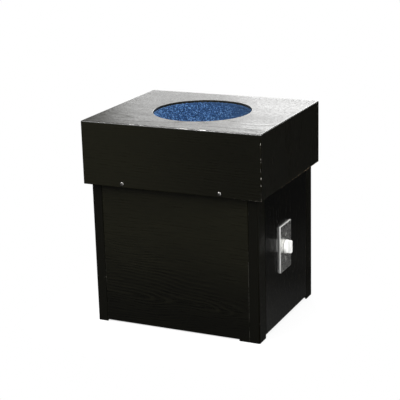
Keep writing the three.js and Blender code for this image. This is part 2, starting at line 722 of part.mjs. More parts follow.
function addHub() {
  const bore = SHAFT_RADIUS + SEAT;
  const flangeFoot = hubTop - HUB_FLANGE_THICKNESS;
  const foot = hubTop - HUB_LENGTH;
  const fillet = easing(
    [HUB_BOSS_RADIUS + HUB_FILLET, flangeFoot - HUB_FILLET], HUB_FILLET, 2 * QUARTER, QUARTER,
  );
  const blank = turned(
    [
      [bore, foot],
      [HUB_BOSS_RADIUS, foot],
      ...fillet,
      [HUB_FLANGE_RADIUS, flangeFoot],
      [HUB_FLANGE_RADIUS, hubTop],
      [bore, hubTop],
    ],
    MOTOR_ROUND,
  );
  const taps = turntableScrewPlaces.map(([x, y]) =>
    rod(TURNTABLE_SCREW_RADIUS + SEAT, flangeFoot - OVERRUN, hubTop + OVERRUN, SCREW_ROUND)
      .translate(x, y, 0),
  );
  const setHole = rod(SET_SCREW_RADIUS + SEAT, 0, HUB_BOSS_RADIUS + OVERRUN, SCREW_ROUND)
    .rotateY(QUARTER)
    .translate(0, 0, hubTop - SET_SCREW_DROP);
  add("hub", without(blank, [...taps, setHole]), CAST_ALUMINIUM);

  const tip = SHAFT_RADIUS - SHAFT_FLAT + SEAT;
  const head = HUB_BOSS_RADIUS - SET_SCREW_SUNK;
  const socket = rod(SET_SCREW_SOCKET_RADIUS, head - SET_SCREW_SOCKET_DEPTH, head + OVERRUN, 6);
  const screw = without(rod(SET_SCREW_RADIUS, tip, head, SCREW_ROUND), [socket]);
  screw.rotateY(QUARTER).translate(0, 0, hubTop - SET_SCREW_DROP);
  add("hub_set_screw", screw, MACHINED_STEEL);

  const length = TURNTABLE_THICKNESS + HUB_FLANGE_THICKNESS + SEAT - TURNTABLE_SCREW_SPARE;
  turntableScrewPlaces.forEach(([x, y], i) => {
    const body = turned(countersunk(turntableTop, length, 0), SCREW_ROUND);
    add(`turntable_screw_${i + 1}`, body.translate(x, y, 0), MACHINED_STEEL);
  });
}

// Motor, from its ends in: two bells, shell, core, rotor, shaft, bearings and fan.
const boltPlaces = turns(4).map((angle) => [
  boltCircle * Math.cos(angle + QUARTER / 2),
  boltCircle * Math.sin(angle + QUARTER / 2),
]);

// An end bell with its rim at z = 0 and its plate up: windows, bearing seat, spigot for the shell.
function endBell(withLugs) {
  const plateFoot = BELL_DEPTH - BELL_WALL;
  const seat = BEARING_RADIUS + SEAT;
  const boss = seat + BEARING_BOSS_WALL;
  const spigot = shellBore - SEAT;
  const bore = SHAFT_RADIUS + RUNNING;
  const shoulder = easing(
    [MOTOR_RADIUS - BELL_ROUNDING, BELL_DEPTH - BELL_ROUNDING], BELL_ROUNDING, 0, QUARTER,
  );
  const inside = BELL_ROUNDING - BELL_WALL;
  const innerShoulder = easing(
    [MOTOR_RADIUS - BELL_ROUNDING, BELL_DEPTH - BELL_ROUNDING], inside, QUARTER, 0, 1,
  );
  const cup = turned(
    [
      [MOTOR_RADIUS, 0],
      ...shoulder,
      [bore, BELL_DEPTH],
      [bore, BELL_DEPTH - BEARING_CAP],
      [seat, BELL_DEPTH - BEARING_CAP],
      [seat, bearingSeat],
      [boss, bearingSeat],
      [boss, plateFoot],
      ...innerShoulder,
      [MOTOR_RADIUS - BELL_WALL, -BELL_SPIGOT],
      [spigot, -BELL_SPIGOT],
      [spigot, 0],
    ],
    MOTOR_ROUND,
  );
  const pitch = (2 * Math.PI) / BELL_WINDOWS;
  const windows = turns(BELL_WINDOWS).map((angle) => {
    const middle = angle + pitch / 2;
    const half = (pitch * WINDOW_SPAN_SHARE) / 2;
    const shape = new THREE.Shape();
    shape.absarc(0, 0, WINDOW_OUTER_RADIUS, middle - half, middle + half);
    shape.absarc(0, 0, WINDOW_INNER_RADIUS, middle + half, middle - half, true);
    return prism(shape, plateFoot - OVERRUN, BELL_DEPTH + OVERRUN);
  });
  if (!withLugs) return without(cup, windows);
  const lugs = boltPlaces.map(([x, y]) =>
    rod(LUG_RADIUS, plateFoot, BELL_DEPTH + LUG_HEIGHT, SCREW_ROUND).translate(x, y, 0),
  );
  const taps = boltPlaces.map(([x, y]) =>
    rod(MOTOR_BOLT_RADIUS + SEAT, plateFoot - OVERRUN, BELL_DEPTH + LUG_HEIGHT + OVERRUN, SCREW_ROUND)
      .translate(x, y, 0),
  );
  return without(joined([cup, ...lugs]), [...windows, ...taps]);
}

function addEndBells() {
  add("motor_top_bell", endBell(true), CAST_ALUMINIUM).position.z = topBellRim;
  const bottom = add("motor_bottom_bell", endBell(false), CAST_ALUMINIUM);
  bottom.rotation.x = 2 * QUARTER;
  bottom.position.z = bottomBellRim;
}

// Where the two leads enter the motor's shell: [angle about the shaft, height].
const leadEntryHeight = shellTop - LEAD_ENTRY_BELOW;
const motorLeadEntry = [0, leadEntryHeight];
const capacitorLeadEntry = [2 * QUARTER - QUARTER / 6, leadEntryHeight];

function addShell() {
  const tube = turned(
    [
      [shellBore, shellFoot],
      [MOTOR_RADIUS, shellFoot],
      [MOTOR_RADIUS, shellTop],
      [shellBore, shellTop],
    ],
    MOTOR_ROUND,
  );
  const slots = turns(SHELL_SLOTS).map((angle) =>
    block(2 * OVERRUN, SLOT_WIDTH, SLOT_HEIGHT, [MOTOR_RADIUS, 0, shellFoot + SLOT_RISE])
      .rotateZ(angle + Math.PI / SHELL_SLOTS),
  );
  const entries = [motorLeadEntry, capacitorLeadEntry].map(([angle, height]) =>
    rod(LEAD_RADIUS + LEAD_ROOM, shellBore - OVERRUN, MOTOR_RADIUS + OVERRUN, SCREW_ROUND)
      .rotateY(QUARTER)
      .rotateZ(angle)
      .translate(0, 0, height),
  );
  add("motor_shell", without(tube, [...slots, ...entries]), MOTOR_PAINT);
}

function addCore() {
  const half = CORE_LENGTH / 2;
  const outer = shellBore - SEAT;
  const bore = ROTOR_RADIUS + AIR_GAP;
  const headInner = bore + WINDING_INSET;
  const headOuter = headInner + WINDING_WIDTH;
  const round = WINDING_WIDTH / 2;
  const head = (sign) => {
    const arc = easing([headInner + round, 0], round, 2 * QUARTER, 0);
    const crown = arc.map(([r, z]) => [r, sign * (half + WINDING_HEAD - round + z)]);
    return [[headInner, sign * half], ...crown, [headOuter, sign * half]];
  };
  const profile = [
    [bore, -half],
    [bore, half],
    ...head(1),
    [outer, half],
    [outer, -half],
    ...head(-1).reverse(),
  ];
  add("stator", turned(profile, MOTOR_ROUND), CORE_STEEL).position.z = coreMiddle;
}

function addRotor() {
  const half = CORE_LENGTH / 2;
  const journal = SHAFT_RADIUS + SHAFT_SHOULDER + SEAT;
  const ring = ROTOR_RADIUS - END_RING_WIDTH;
  const end = (sign) => [
    [journal, sign * half],
    [ring, sign * half],
    [ring, sign * (half + END_RING_HEIGHT)],
    [ROTOR_RADIUS, sign * (half + END_RING_HEIGHT)],
  ];
  const profile = [...end(1), ...end(-1).reverse()];
  add("rotor", turned(profile, MOTOR_ROUND), CORE_STEEL).position.z = coreMiddle;
}

function addShaft() {
  const topShoulder = topBellRim + bearingSeat - SEAT;
  const bottomShoulder = bottomBellRim - bearingSeat + SEAT;
  const thick = SHAFT_RADIUS + SHAFT_SHOULDER;
  const foot = bottomBellPlate + BEARING_CAP;
  const head = hubTop - SEAT;
  const blank = turned(
    [
      [0, foot],
      [SHAFT_RADIUS, foot],
      [SHAFT_RADIUS, bottomShoulder],
      [thick, bottomShoulder],
      [thick, topShoulder],
      [SHAFT_RADIUS, topShoulder],
      [SHAFT_RADIUS, head],
      [0, head],
    ],
    SMALL_ROUND,
  );
  const flatFoot = hubTop - HUB_LENGTH;
  const beyond = SHAFT_RADIUS - SHAFT_FLAT + SHAFT_RADIUS / 2;
  const flat = block(SHAFT_RADIUS, 2 * thick, HUB_LENGTH + OVERRUN, [beyond, 0, flatFoot]);
  add("motor_shaft", without(blank, [flat]), MACHINED_STEEL);
}

// A shielded ball bearing, drawn as one ring with its shields set back between the races.
function bearing() {
  const bore = SHAFT_RADIUS + SEAT;
  const half = BEARING_HEIGHT / 2;
  const face = (sign) => [
    [bore, sign * half],
    [bore + RACE_WIDTH, sign * half],
    [bore + RACE_WIDTH, sign * (half - RACE_DEPTH)],
    [BEARING_RADIUS - RACE_WIDTH, sign * (half - RACE_DEPTH)],
    [BEARING_RADIUS - RACE_WIDTH, sign * half],
    [BEARING_RADIUS, sign * half],
  ];
  return turned([...face(1), ...face(-1).reverse()], SMALL_ROUND);
}

function addBearings() {
  const inBell = bearingSeat + BEARING_HEIGHT / 2;
  add("top_bearing", bearing(), MACHINED_STEEL).position.z = topBellRim + inBell;
  add("bottom_bearing", bearing(), MACHINED_STEEL).position.z = bottomBellRim - inBell;
}

function addFan() {
  const bore = SHAFT_RADIUS + SHAFT_SHOULDER + SEAT;
  const hub = bore + FAN_HUB_WALL;
  const top = coreMiddle - CORE_LENGTH / 2 - END_RING_HEIGHT - FAN_GAP;
  const foot = top - FAN_HEIGHT;
  const centre = turned([[bore, foot], [hub, foot], [hub, top], [bore, top]], SMALL_ROUND);
  const reach = FAN_RADIUS - bore - FAN_HUB_WALL / 2;
  const middle = FAN_RADIUS - reach / 2;
  const blades = turns(FAN_BLADES).map((angle) =>
    block(reach, FAN_BLADE_THICKNESS, FAN_HEIGHT, [middle, 0, foot]).rotateZ(angle),
  );
  add("cooling_fan", joined([centre, ...blades]), BLACK_PLASTIC);
}

// Rubber mounts between deck and lugs, and the bolts that come down through them.
function addMotorFixings() {
  const washerTop = SEAT + WASHER_THICKNESS;
  const length = DECK_THICKNESS + MOUNT_HEIGHT + LUG_HEIGHT + BELL_WALL - BOLT_SPARE;
  boltPlaces.forEach(([x, y], i) => {
    const bore = MOTOR_BOLT_RADIUS + SEAT;
    const [foot, head] = [lugTop + SEAT, lugTop + SEAT + MOUNT_HEIGHT];
    const waist = MOUNT_RADIUS - MOUNT_WAIST;
    const bush = turned(
      [
        [bore, foot],
        [MOUNT_RADIUS, foot],
        [waist, foot + MOUNT_HEIGHT / 2],
        [MOUNT_RADIUS, head],
        [bore, head],
      ],
      SCREW_ROUND,
    );
    add(`motor_mount_${i + 1}`, bush.translate(x, y, 0), BLACK_RUBBER);
    const shank = turned(
      [
        [0, -length],
        [MOTOR_BOLT_RADIUS, -length],
        [MOTOR_BOLT_RADIUS, SEAT],
        [WASHER_RADIUS, SEAT],
        [WASHER_RADIUS, washerTop],
        [0, washerTop],
      ],
      SCREW_ROUND,
    );
    const hex = rod(BOLT_HEAD_RADIUS, SEAT, washerTop + BOLT_HEAD_HEIGHT, 6);
    add(`motor_bolt_${i + 1}`, joined([shank, hex]), MACHINED_STEEL).position.set(x, y, deckTop);
  });
}

// Run capacitor, hung under the deck beside the motor in a strap.
const strapReach = CAPACITOR_RADIUS + SEAT + STRAP_THICKNESS + STRAP_EAR;
const capacitorX = strapReach + CAPACITOR_SIDE_GAP - (bodyWidth / 2 - PANEL_THICKNESS - SEAT - CLEAT_SIZE);
const capacitorY = bodyDepth / 2 - PANEL_THICKNESS - CAPACITOR_BACK_GAP - CAPACITOR_LENGTH / 2;
const strapFoot = deckUnderside - SEAT - STRAP_THICKNESS;
const capacitorZ = strapFoot - SEAT - CAPACITOR_RADIUS;
const strapScrewPlaces = [-1, 1].map((sign) => [
  capacitorX + sign * (strapReach - STRAP_EAR / 2),
  capacitorY,
]);

function addCapacitor() {
  const half = CAPACITOR_LENGTH / 2;
  const r = CAPACITOR_RADIUS;
  const e = CAPACITOR_EASING;
  const can = turned(
    [
      [0, -half],
      ...easing([r - e, e - half], e, 3 * QUARTER, 4 * QUARTER, 2),
      ...easing([r - e, half - e], e, 0, QUARTER, 2),
      [0, half],
    ],
    SMALL_ROUND,
  );
  const tabs = [-1, 1].map((sign) =>
    block(TERMINAL_THICKNESS, TERMINAL_WIDTH, TERMINAL_HEIGHT + e, [
      (sign * TERMINAL_SPACING) / 2, 0, half - e,
    ]),
  );
  const body = add("capacitor", joined([can, ...tabs]), CAST_ALUMINIUM);
  body.rotation.x = QUARTER;
  body.position.set(capacitorX, capacitorY, capacitorZ);

  const inner = r + SEAT;
  const outer = inner + STRAP_THICKNESS;
  const strapTop = outer;
  const strapUnderside = strapTop - STRAP_THICKNESS;
  const band = new THREE.Shape();
  band.moveTo(outer + STRAP_EAR, strapTop);
  band.lineTo(inner, strapTop);
  band.lineTo(inner, 0);
  band.absarc(0, 0, inner, 0, -2 * QUARTER, true);
  band.lineTo(-inner, strapTop);
  band.lineTo(-outer - STRAP_EAR, strapTop);
  band.lineTo(-outer - STRAP_EAR, strapUnderside);
  band.lineTo(-outer, strapUnderside);
  band.lineTo(-outer, 0);
  band.absarc(0, 0, outer, -2 * QUARTER, 0);
  band.lineTo(outer, strapUnderside);
  band.lineTo(outer + STRAP_EAR, strapUnderside);
  const hoop = prism(band, -STRAP_WIDTH / 2, STRAP_WIDTH / 2, SCREW_ROUND / 2)
    .rotateX(QUARTER)
    .translate(capacitorX, capacitorY, capacitorZ);
  const holes = strapScrewPlaces.map(([x, y]) =>
    rod(STRAP_SCREW_RADIUS + SEAT, strapFoot - OVERRUN, deckUnderside, SCREW_ROUND)
      .translate(x, y, 0),
  );
  add("capacitor_strap", without(hoop, holes), GALVANISED);
  strapScrewPlaces.forEach(([x, y], i) => {
    const head = strapFoot - SEAT;
    const screw = turned(
      [
        [0, head + STRAP_SCREW_LENGTH],
        [STRAP_SCREW_RADIUS, head + STRAP_SCREW_LENGTH - STRAP_SCREW_RADIUS],
        [STRAP_SCREW_RADIUS, head],
        [STRAP_SCREW_HEAD_RADIUS, head],
        [STRAP_SCREW_HEAD_RADIUS / 2, head - STRAP_SCREW_HEAD_HEIGHT],
        [0, head - STRAP_SCREW_HEAD_HEIGHT],
      ],
      SCREW_ROUND,
    );
    add(`strap_screw_${i + 1}`, screw.translate(x, y, 0), MACHINED_STEEL);
  });
}

// The timer switch is drawn as seen from outside: x towards the back, y up, z out of the panel.
const timerGroup = new THREE.Group();
timerGroup.quaternion.setFromRotationMatrix(new THREE.Matrix4().makeBasis(Y_AXIS, Z_AXIS, X_AXIS));
timerGroup.position.set(bodyWidth / 2, PLATE_CENTRE_Y, plateCentreZ);
part.add(timerGroup);

const rectangle = (width, height) =>
  outline([
    [-width / 2, -height / 2],
    [width / 2, -height / 2],
    [width / 2, height / 2],
    [-width / 2, height / 2],
  ]);

const earTop = SEAT + EAR_THICKNESS; // above the panel's outer face
const yokeFoot = earTop + SEAT;
const yokeTop = yokeFoot + YOKE_THICKNESS;
const plateScrewHeights = [PLATE_SCREW_SPACING / 2, -PLATE_SCREW_SPACING / 2];

function addSwitchBox() {
  const [innerWidth, innerHeight] = [BOX_WIDTH - 2 * BOX_WALL, BOX_HEIGHT - 2 * BOX_WALL];
  const outer = prism(rectangle(BOX_WIDTH, BOX_HEIGHT), -BOX_DEPTH, earTop);
  const ears = prism(rectangle(EAR_WIDTH, BOX_HEIGHT + 2 * EAR_LENGTH), SEAT, earTop);
  const hollow = prism(rectangle(innerWidth, innerHeight), BOX_WALL - BOX_DEPTH, earTop + OVERRUN);
  const [knockoutFoot, knockoutHead] = [-BOX_DEPTH - OVERRUN, BOX_WALL - BOX_DEPTH + OVERRUN];
  const knockout = rod(LEAD_RADIUS + LEAD_ROOM, knockoutFoot, knockoutHead, SCREW_ROUND)
    .translate(0, -MOTOR_LEAD_DROP, 0);
  add("switch_box", without(joined([outer, ears]), [hollow, knockout]), GALVANISED, timerGroup);
}

function addTimer() {
  const [a, b, c] = [TIMER_WIDTH / 2, TIMER_HEIGHT / 2, TIMER_CHAMFER];
  const half = [[a, c - b], [a, b - c], [a - c, b], [c - a, b]];
  const section = outline([...half, ...half.map(([x, y]) => [-x, -y])]);
  const body = prism(section, yokeFoot - TIMER_DEPTH, yokeTop);
  const yoke = prism(roundedRectangle(YOKE_WIDTH, YOKE_LENGTH, YOKE_CORNER_RADIUS), yokeFoot, yokeTop);
  const bush = rod(BUSH_RADIUS, yokeFoot, yokeTop + BUSH_HEIGHT);
  const shaftBore = rod(
    TIMER_SHAFT_RADIUS + RUNNING, yokeTop - TIMER_SHAFT_SUNK - SEAT, yokeTop + BUSH_HEIGHT + OVERRUN,
  );
  const taps = plateScrewHeights.map((y) =>
    rod(PLATE_SCREW_RADIUS + SEAT, PLATE_DEPTH - PLATE_SCREW_LENGTH - SEAT, yokeTop + OVERRUN, SCREW_ROUND)
      .translate(0, y, 0),
  );
  add("timer_body", without(joined([body, yoke, bush]), [shaftBore, ...taps]), BLACK_PLASTIC, timerGroup);

  const head = knobBase + KNOB_BORE_DEPTH - SEAT;
  const shaft = rod(TIMER_SHAFT_RADIUS, yokeTop - TIMER_SHAFT_SUNK, head);
  const beyond = 2 * TIMER_SHAFT_RADIUS - TIMER_SHAFT_FLAT;
  const flat = block(2 * TIMER_SHAFT_RADIUS, 2 * TIMER_SHAFT_RADIUS, KNOB_BORE_DEPTH + OVERRUN, [
    0, beyond, knobBase,
  ]);
  add("timer_shaft", without(shaft, [flat]), MACHINED_STEEL, timerGroup);
}

function addPlate() {
  const shape = roundedRectangle(
    PLATE_WIDTH - 2 * PLATE_ROUNDING,
    PLATE_HEIGHT - 2 * PLATE_ROUNDING,
    PLATE_CORNER_RADIUS,
  );
  const pressed = new THREE.ExtrudeGeometry(shape, {
    depth: PLATE_DEPTH - PLATE_ROUNDING,
    bevelThickness: PLATE_ROUNDING,
    bevelSize: PLATE_ROUNDING,
    bevelSegments: EASING_STEPS,
    curveSegments: 1,
  });
  const [width, height] = [PLATE_WIDTH - 2 * PLATE_WALL, PLATE_HEIGHT - 2 * PLATE_WALL];
  const behind = block(PLATE_WIDTH + 2 * OVERRUN, PLATE_HEIGHT + 2 * OVERRUN, PLATE_DEPTH, [
    0, 0, SEAT - PLATE_DEPTH,
  ]);
  const pocket = prism(rectangle(width, height), -OVERRUN, PLATE_DEPTH - PLATE_WALL);
  const bush = rod(PLATE_BUSH_RADIUS, 0, PLATE_DEPTH + OVERRUN);
  const sinks = plateScrewHeights.map((y) => {
    const brim = PLATE_SCREW_HEAD_RADIUS + SEAT;
    const shank = PLATE_SCREW_RADIUS + SEAT;
    const throat = PLATE_DEPTH - PLATE_SCREW_HEAD_HEIGHT;
    const bit = [[0, 0], [shank, 0], [shank, throat], [brim, PLATE_DEPTH]];
    return turned([...bit, [brim, PLATE_DEPTH + OVERRUN], [0, PLATE_DEPTH + OVERRUN]], SCREW_ROUND)
      .translate(0, y, 0);
  });
  add("wall_plate", without(pressed, [behind, pocket, bush, ...sinks]), PLATE_STEEL, timerGroup);

  plateScrewHeights.forEach((y, i) => {
    const throat = PLATE_DEPTH - PLATE_SCREW_HEAD_HEIGHT;
    const blank = turned(
      [
        [0, PLATE_DEPTH - PLATE_SCREW_LENGTH],
        [PLATE_SCREW_RADIUS, PLATE_DEPTH - PLATE_SCREW_LENGTH],
        [PLATE_SCREW_RADIUS, throat],
        [PLATE_SCREW_HEAD_RADIUS, PLATE_DEPTH],
        [PLATE_SCREW_HEAD_RADIUS / 2, PLATE_DEPTH + PLATE_SCREW_CROWN],
        [0, PLATE_DEPTH + PLATE_SCREW_CROWN],
      ],
      SCREW_ROUND,
    );
    const slot = block(2 * PLATE_SCREW_HEAD_RADIUS, RECESS_WIDTH, PLATE_SCREW_CROWN + OVERRUN, [
      0, 0, PLATE_DEPTH,
    ]);
    const name = i === 0 ? "plate_screw_upper" : "plate_screw_lower";
    add(name, without(blank, [slot]), PLATE_STEEL, timerGroup).position.y = y;
  });
}

function addKnob() {
  const skirtTop = knobBase + KNOB_SKIRT_HEIGHT;
  const shoulder = easing(
    [KNOB_RADIUS - KNOB_DRAFT - KNOB_EASING, skirtTop - KNOB_EASING], KNOB_EASING, 0, QUARTER, 2,
  );
  const skirt = turned([[0, knobBase], [KNOB_RADIUS, knobBase], ...shoulder, [0, skirtTop]], MOTOR_ROUND);
  const bar = roundedRectangle(GRIP_WIDTH - 2 * GRIP_EASING, GRIP_LENGTH - 2 * GRIP_EASING, GRIP_EASING);
  const grip = new THREE.ExtrudeGeometry(bar, {
    depth: KNOB_REACH - 2 * GRIP_CROWN,
    bevelThickness: GRIP_CROWN,
    bevelSize: GRIP_EASING,
    bevelSegments: EASING_STEPS,
    curveSegments: 1,
  }).translate(0, 0, knobBase + GRIP_CROWN);
  const bore = rod(TIMER_SHAFT_RADIUS + SEAT, knobBase - OVERRUN, knobBase + KNOB_BORE_DEPTH);
  add("timer_knob", without(joined([skirt, grip]), [bore]), WHITE_PLASTIC, timerGroup);
}

// Cord outlet: a rubber grommet gripping the back panel, with an open bore.
function addGrommet() {
  const neck = GROMMET_BORE + GROMMET_WALL;
  const lip = neck + GROMMET_LIP;
  const e = GROMMET_EASING;
  const face = PANEL_THICKNESS / 2 + SEAT;
  const end = (sign) => [
    [GROMMET_BORE, sign * (face + GROMMET_FLANGE)],
    [lip - e, sign * (face + GROMMET_FLANGE)],
    [lip, sign * (face + GROMMET_FLANGE - e)],
    [lip, sign * face],
    [neck, sign * face],
  ];
  const ring = turned([...end(1), ...end(-1).reverse()], SMALL_ROUND);
  const grommet = add("cord_grommet", ring, BLACK_RUBBER);
  grommet.rotation.x = QUARTER;
  grommet.position.set(GROMMET_X, (bodyDepth - PANEL_THICKNESS) / 2, GROMMET_Z);
}

// Inner leads: switch box to motor, and capacitor to motor.
const onShell = ([angle, height], radius) => [
  radius * Math.cos(angle),
  radius * Math.sin(angle),
  height,
];

function addLeads() {
  const boxBack = bodyWidth / 2 - BOX_DEPTH;
  const boxLevel = plateCentreZ - MOTOR_LEAD_DROP;
  const clear = MOTOR_RADIUS + LEAD_BEND / 2;
  // the run a lead makes up to the shell and in through it
  const intoShell = (entry) => [
    onShell([entry[0], entry[1] - LEAD_BEND], clear + LEAD_BEND / 2),
    onShell(entry, clear),
    onShell(entry, MOTOR_RADIUS - LEAD_TAIL),
  ];
  add(
    "motor_lead",
    lead([
      [boxBack + LEAD_TAIL, PLATE_CENTRE_Y, boxLevel],
      [boxBack - LEAD_TAIL, PLATE_CENTRE_Y, boxLevel],
      [(boxBack + clear) / 2, PLATE_CENTRE_Y / 2, boxLevel - MOTOR_LEAD_SAG],
      ...intoShell(motorLeadEntry),
    ]),
    BLACK_RUBBER,
  );

  const canEnd = capacitorY - CAPACITOR_LENGTH / 2 - TERMINAL_HEIGHT - SEAT;
  add(
    "capacitor_lead",
    lead([
      [capacitorX, canEnd, capacitorZ],
      [capacitorX, canEnd - LEAD_BEND / 2, capacitorZ],
      [capacitorX + LEAD_BEND, canEnd - LEAD_BEND, capacitorZ - 2 * LEAD_BEND],
      ...intoShell(capacitorLeadEntry),
    ]),
    BLACK_RUBBER,
  );
}

addPosts();
addPanels();
addLidTop();
addSkirts();
addLidScrews();
addDeck();
addCleats();
addTub();
addTurntable();
addHub();
addEndBells();
addShell();
addCore();
addRotor();
addShaft();
addBearings();
addFan();
addMotorFixings();
addCapacitor();
addSwitchBox();
addTimer();
addPlate();
addKnob();
addGrommet();
addLeads();

// The knob reaches further right than the lid does left, so the part is moved to centre its bounds.
const knobFace = bodyWidth / 2 + knobBase + KNOB_REACH;
part.position.x = (LID_WIDTH / 2 - knobFace) / 2;

export default part;
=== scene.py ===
# Pool ball polisher: the finished look of the black oak cabinet, its carpets, timer and motor.
# Every piece is built in the frame's own metres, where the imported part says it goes.
import math

import bmesh
import bpy
from mathutils import Matrix, Vector


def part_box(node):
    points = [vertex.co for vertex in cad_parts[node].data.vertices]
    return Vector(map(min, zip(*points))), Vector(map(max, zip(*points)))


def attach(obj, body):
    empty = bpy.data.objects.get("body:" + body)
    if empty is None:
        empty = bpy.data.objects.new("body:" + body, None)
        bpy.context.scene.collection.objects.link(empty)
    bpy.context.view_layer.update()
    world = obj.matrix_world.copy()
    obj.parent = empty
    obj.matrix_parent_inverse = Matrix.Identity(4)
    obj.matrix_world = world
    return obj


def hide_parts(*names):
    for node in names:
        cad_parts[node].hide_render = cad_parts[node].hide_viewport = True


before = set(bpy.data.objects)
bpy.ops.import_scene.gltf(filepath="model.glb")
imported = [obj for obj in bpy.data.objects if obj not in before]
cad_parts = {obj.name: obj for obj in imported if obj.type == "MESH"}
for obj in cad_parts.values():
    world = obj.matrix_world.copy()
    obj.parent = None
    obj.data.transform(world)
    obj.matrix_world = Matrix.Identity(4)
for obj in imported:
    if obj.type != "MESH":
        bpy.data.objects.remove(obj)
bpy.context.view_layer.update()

MM = 0.001
QUARTER = math.pi / 2
NEARLY_A_TURN = 6.28


def extent(node):
    """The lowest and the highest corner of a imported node."""
    low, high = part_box(node)
    return Vector(low), Vector(high)


# Places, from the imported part
lid_low, lid_high = extent("lid_top")
axis_x = (lid_low.x + lid_high.x) / 2
lid_top_z = lid_high.z
skirt_low = extent("lid_skirt_front")[0]
skirt_foot_z = skirt_low.z
lid_half_depth = -skirt_low.y
lid_half_width = extent("lid_skirt_right")[1].x - axis_x
wall_carpet_low, wall_carpet_high = extent("wall_carpet")
turntable_carpet_low, turntable_carpet_high = extent("turntable_carpet")
wall_carpet_radius = wall_carpet_high.x - axis_x
plate_low, plate_high = extent("wall_plate")
knob_low, knob_high = extent("timer_knob")
shell_low, shell_high = extent("motor_shell")
motor_middle = (axis_x, 0.0, (shell_low.z + shell_high.z) / 2)

# Sizes of the lid's boards
SKIRT_THICKNESS = 12.7 * MM
LID_CORNER_RADIUS = 1.6 * MM
LID_TOP_EASING = 3.0 * MM
LID_FOOT_EASING = 1.6 * MM
MOUTH_CLEARANCE = 0.3 * MM
MOUTH_EASING = 1.0 * MM
MOUTH_SIDES = 128

# How far the other pieces' edges are eased
BOARD_ARRIS = 0.7 * MM
PLATE_EASING = 0.25 * MM
PLATE_SCREW_EASING = 0.12 * MM
GROMMET_EASING = 0.3 * MM

# Which edges are eased, which faces are square to the room, what is merged and what shades smooth
EASED_ABOVE = math.radians(50)
SQUARE_ON = 0.99
MERGED_WITHIN = 0.002 * MM
SMOOTH_BELOW = math.radians(35)

# Sizes of the carpets
CARPET_BASE = 3.4 * MM
CARPET_EASING = 1.2 * MM
CARPET_SIDES = 96
TUFT_SPACING = 2.2 * MM
TUFT_HEIGHT = 3.4 * MM
TUFT_WIDTH = 2.6 * MM
TUFT_SIZE_SHARES = (0.8, 1.2)
TUFT_LEAN = 0.5
TUFT_OUTSIDE_SHARE = 0.35
MOST_TUFTS_A_SQUARE_METRE = 300000.0
PILE_BELOW_TURNTABLE = 4 * MM

# Sizes of the timer's knob and of the scale printed round it
KNOB_RADIUS = 17 * MM
KNOB_SKIRT_HEIGHT = 5 * MM
KNOB_SKIRT_STEP = 0.8 * MM
KNOB_SKIRT_EASING = 1.4 * MM
KNOB_SIDES = 72
BAR_HALF_WIDTH = 5.5 * MM
BAR_HALF_LENGTH = 15.5 * MM
BAR_CORNER = 2.4 * MM
BAR_LEAST_CORNER = 0.5 * MM
BAR_CROWN_IN = 2.4 * MM
BAR_CROWN_DOWN = 4 * MM
BAR_CROWN_STEPS = 8
BAR_SUNK = 1.5 * MM
INK_THICKNESS = 0.03 * MM
TICK_FOOT = 18.4 * MM
LONG_TICK = (0.22 * MM, 20.6 * MM)
SHORT_TICK = (0.15 * MM, 19.8 * MM)
TICK_TURN = math.radians(10)
NUMBER_HEIGHT = 4.4 * MM
NUMBER_RADIUS = 23.4 * MM
MINUTE_TURN = math.radians(20)
LAST_MINUTE = 15
MINUTES_APART = 3


# Node trees

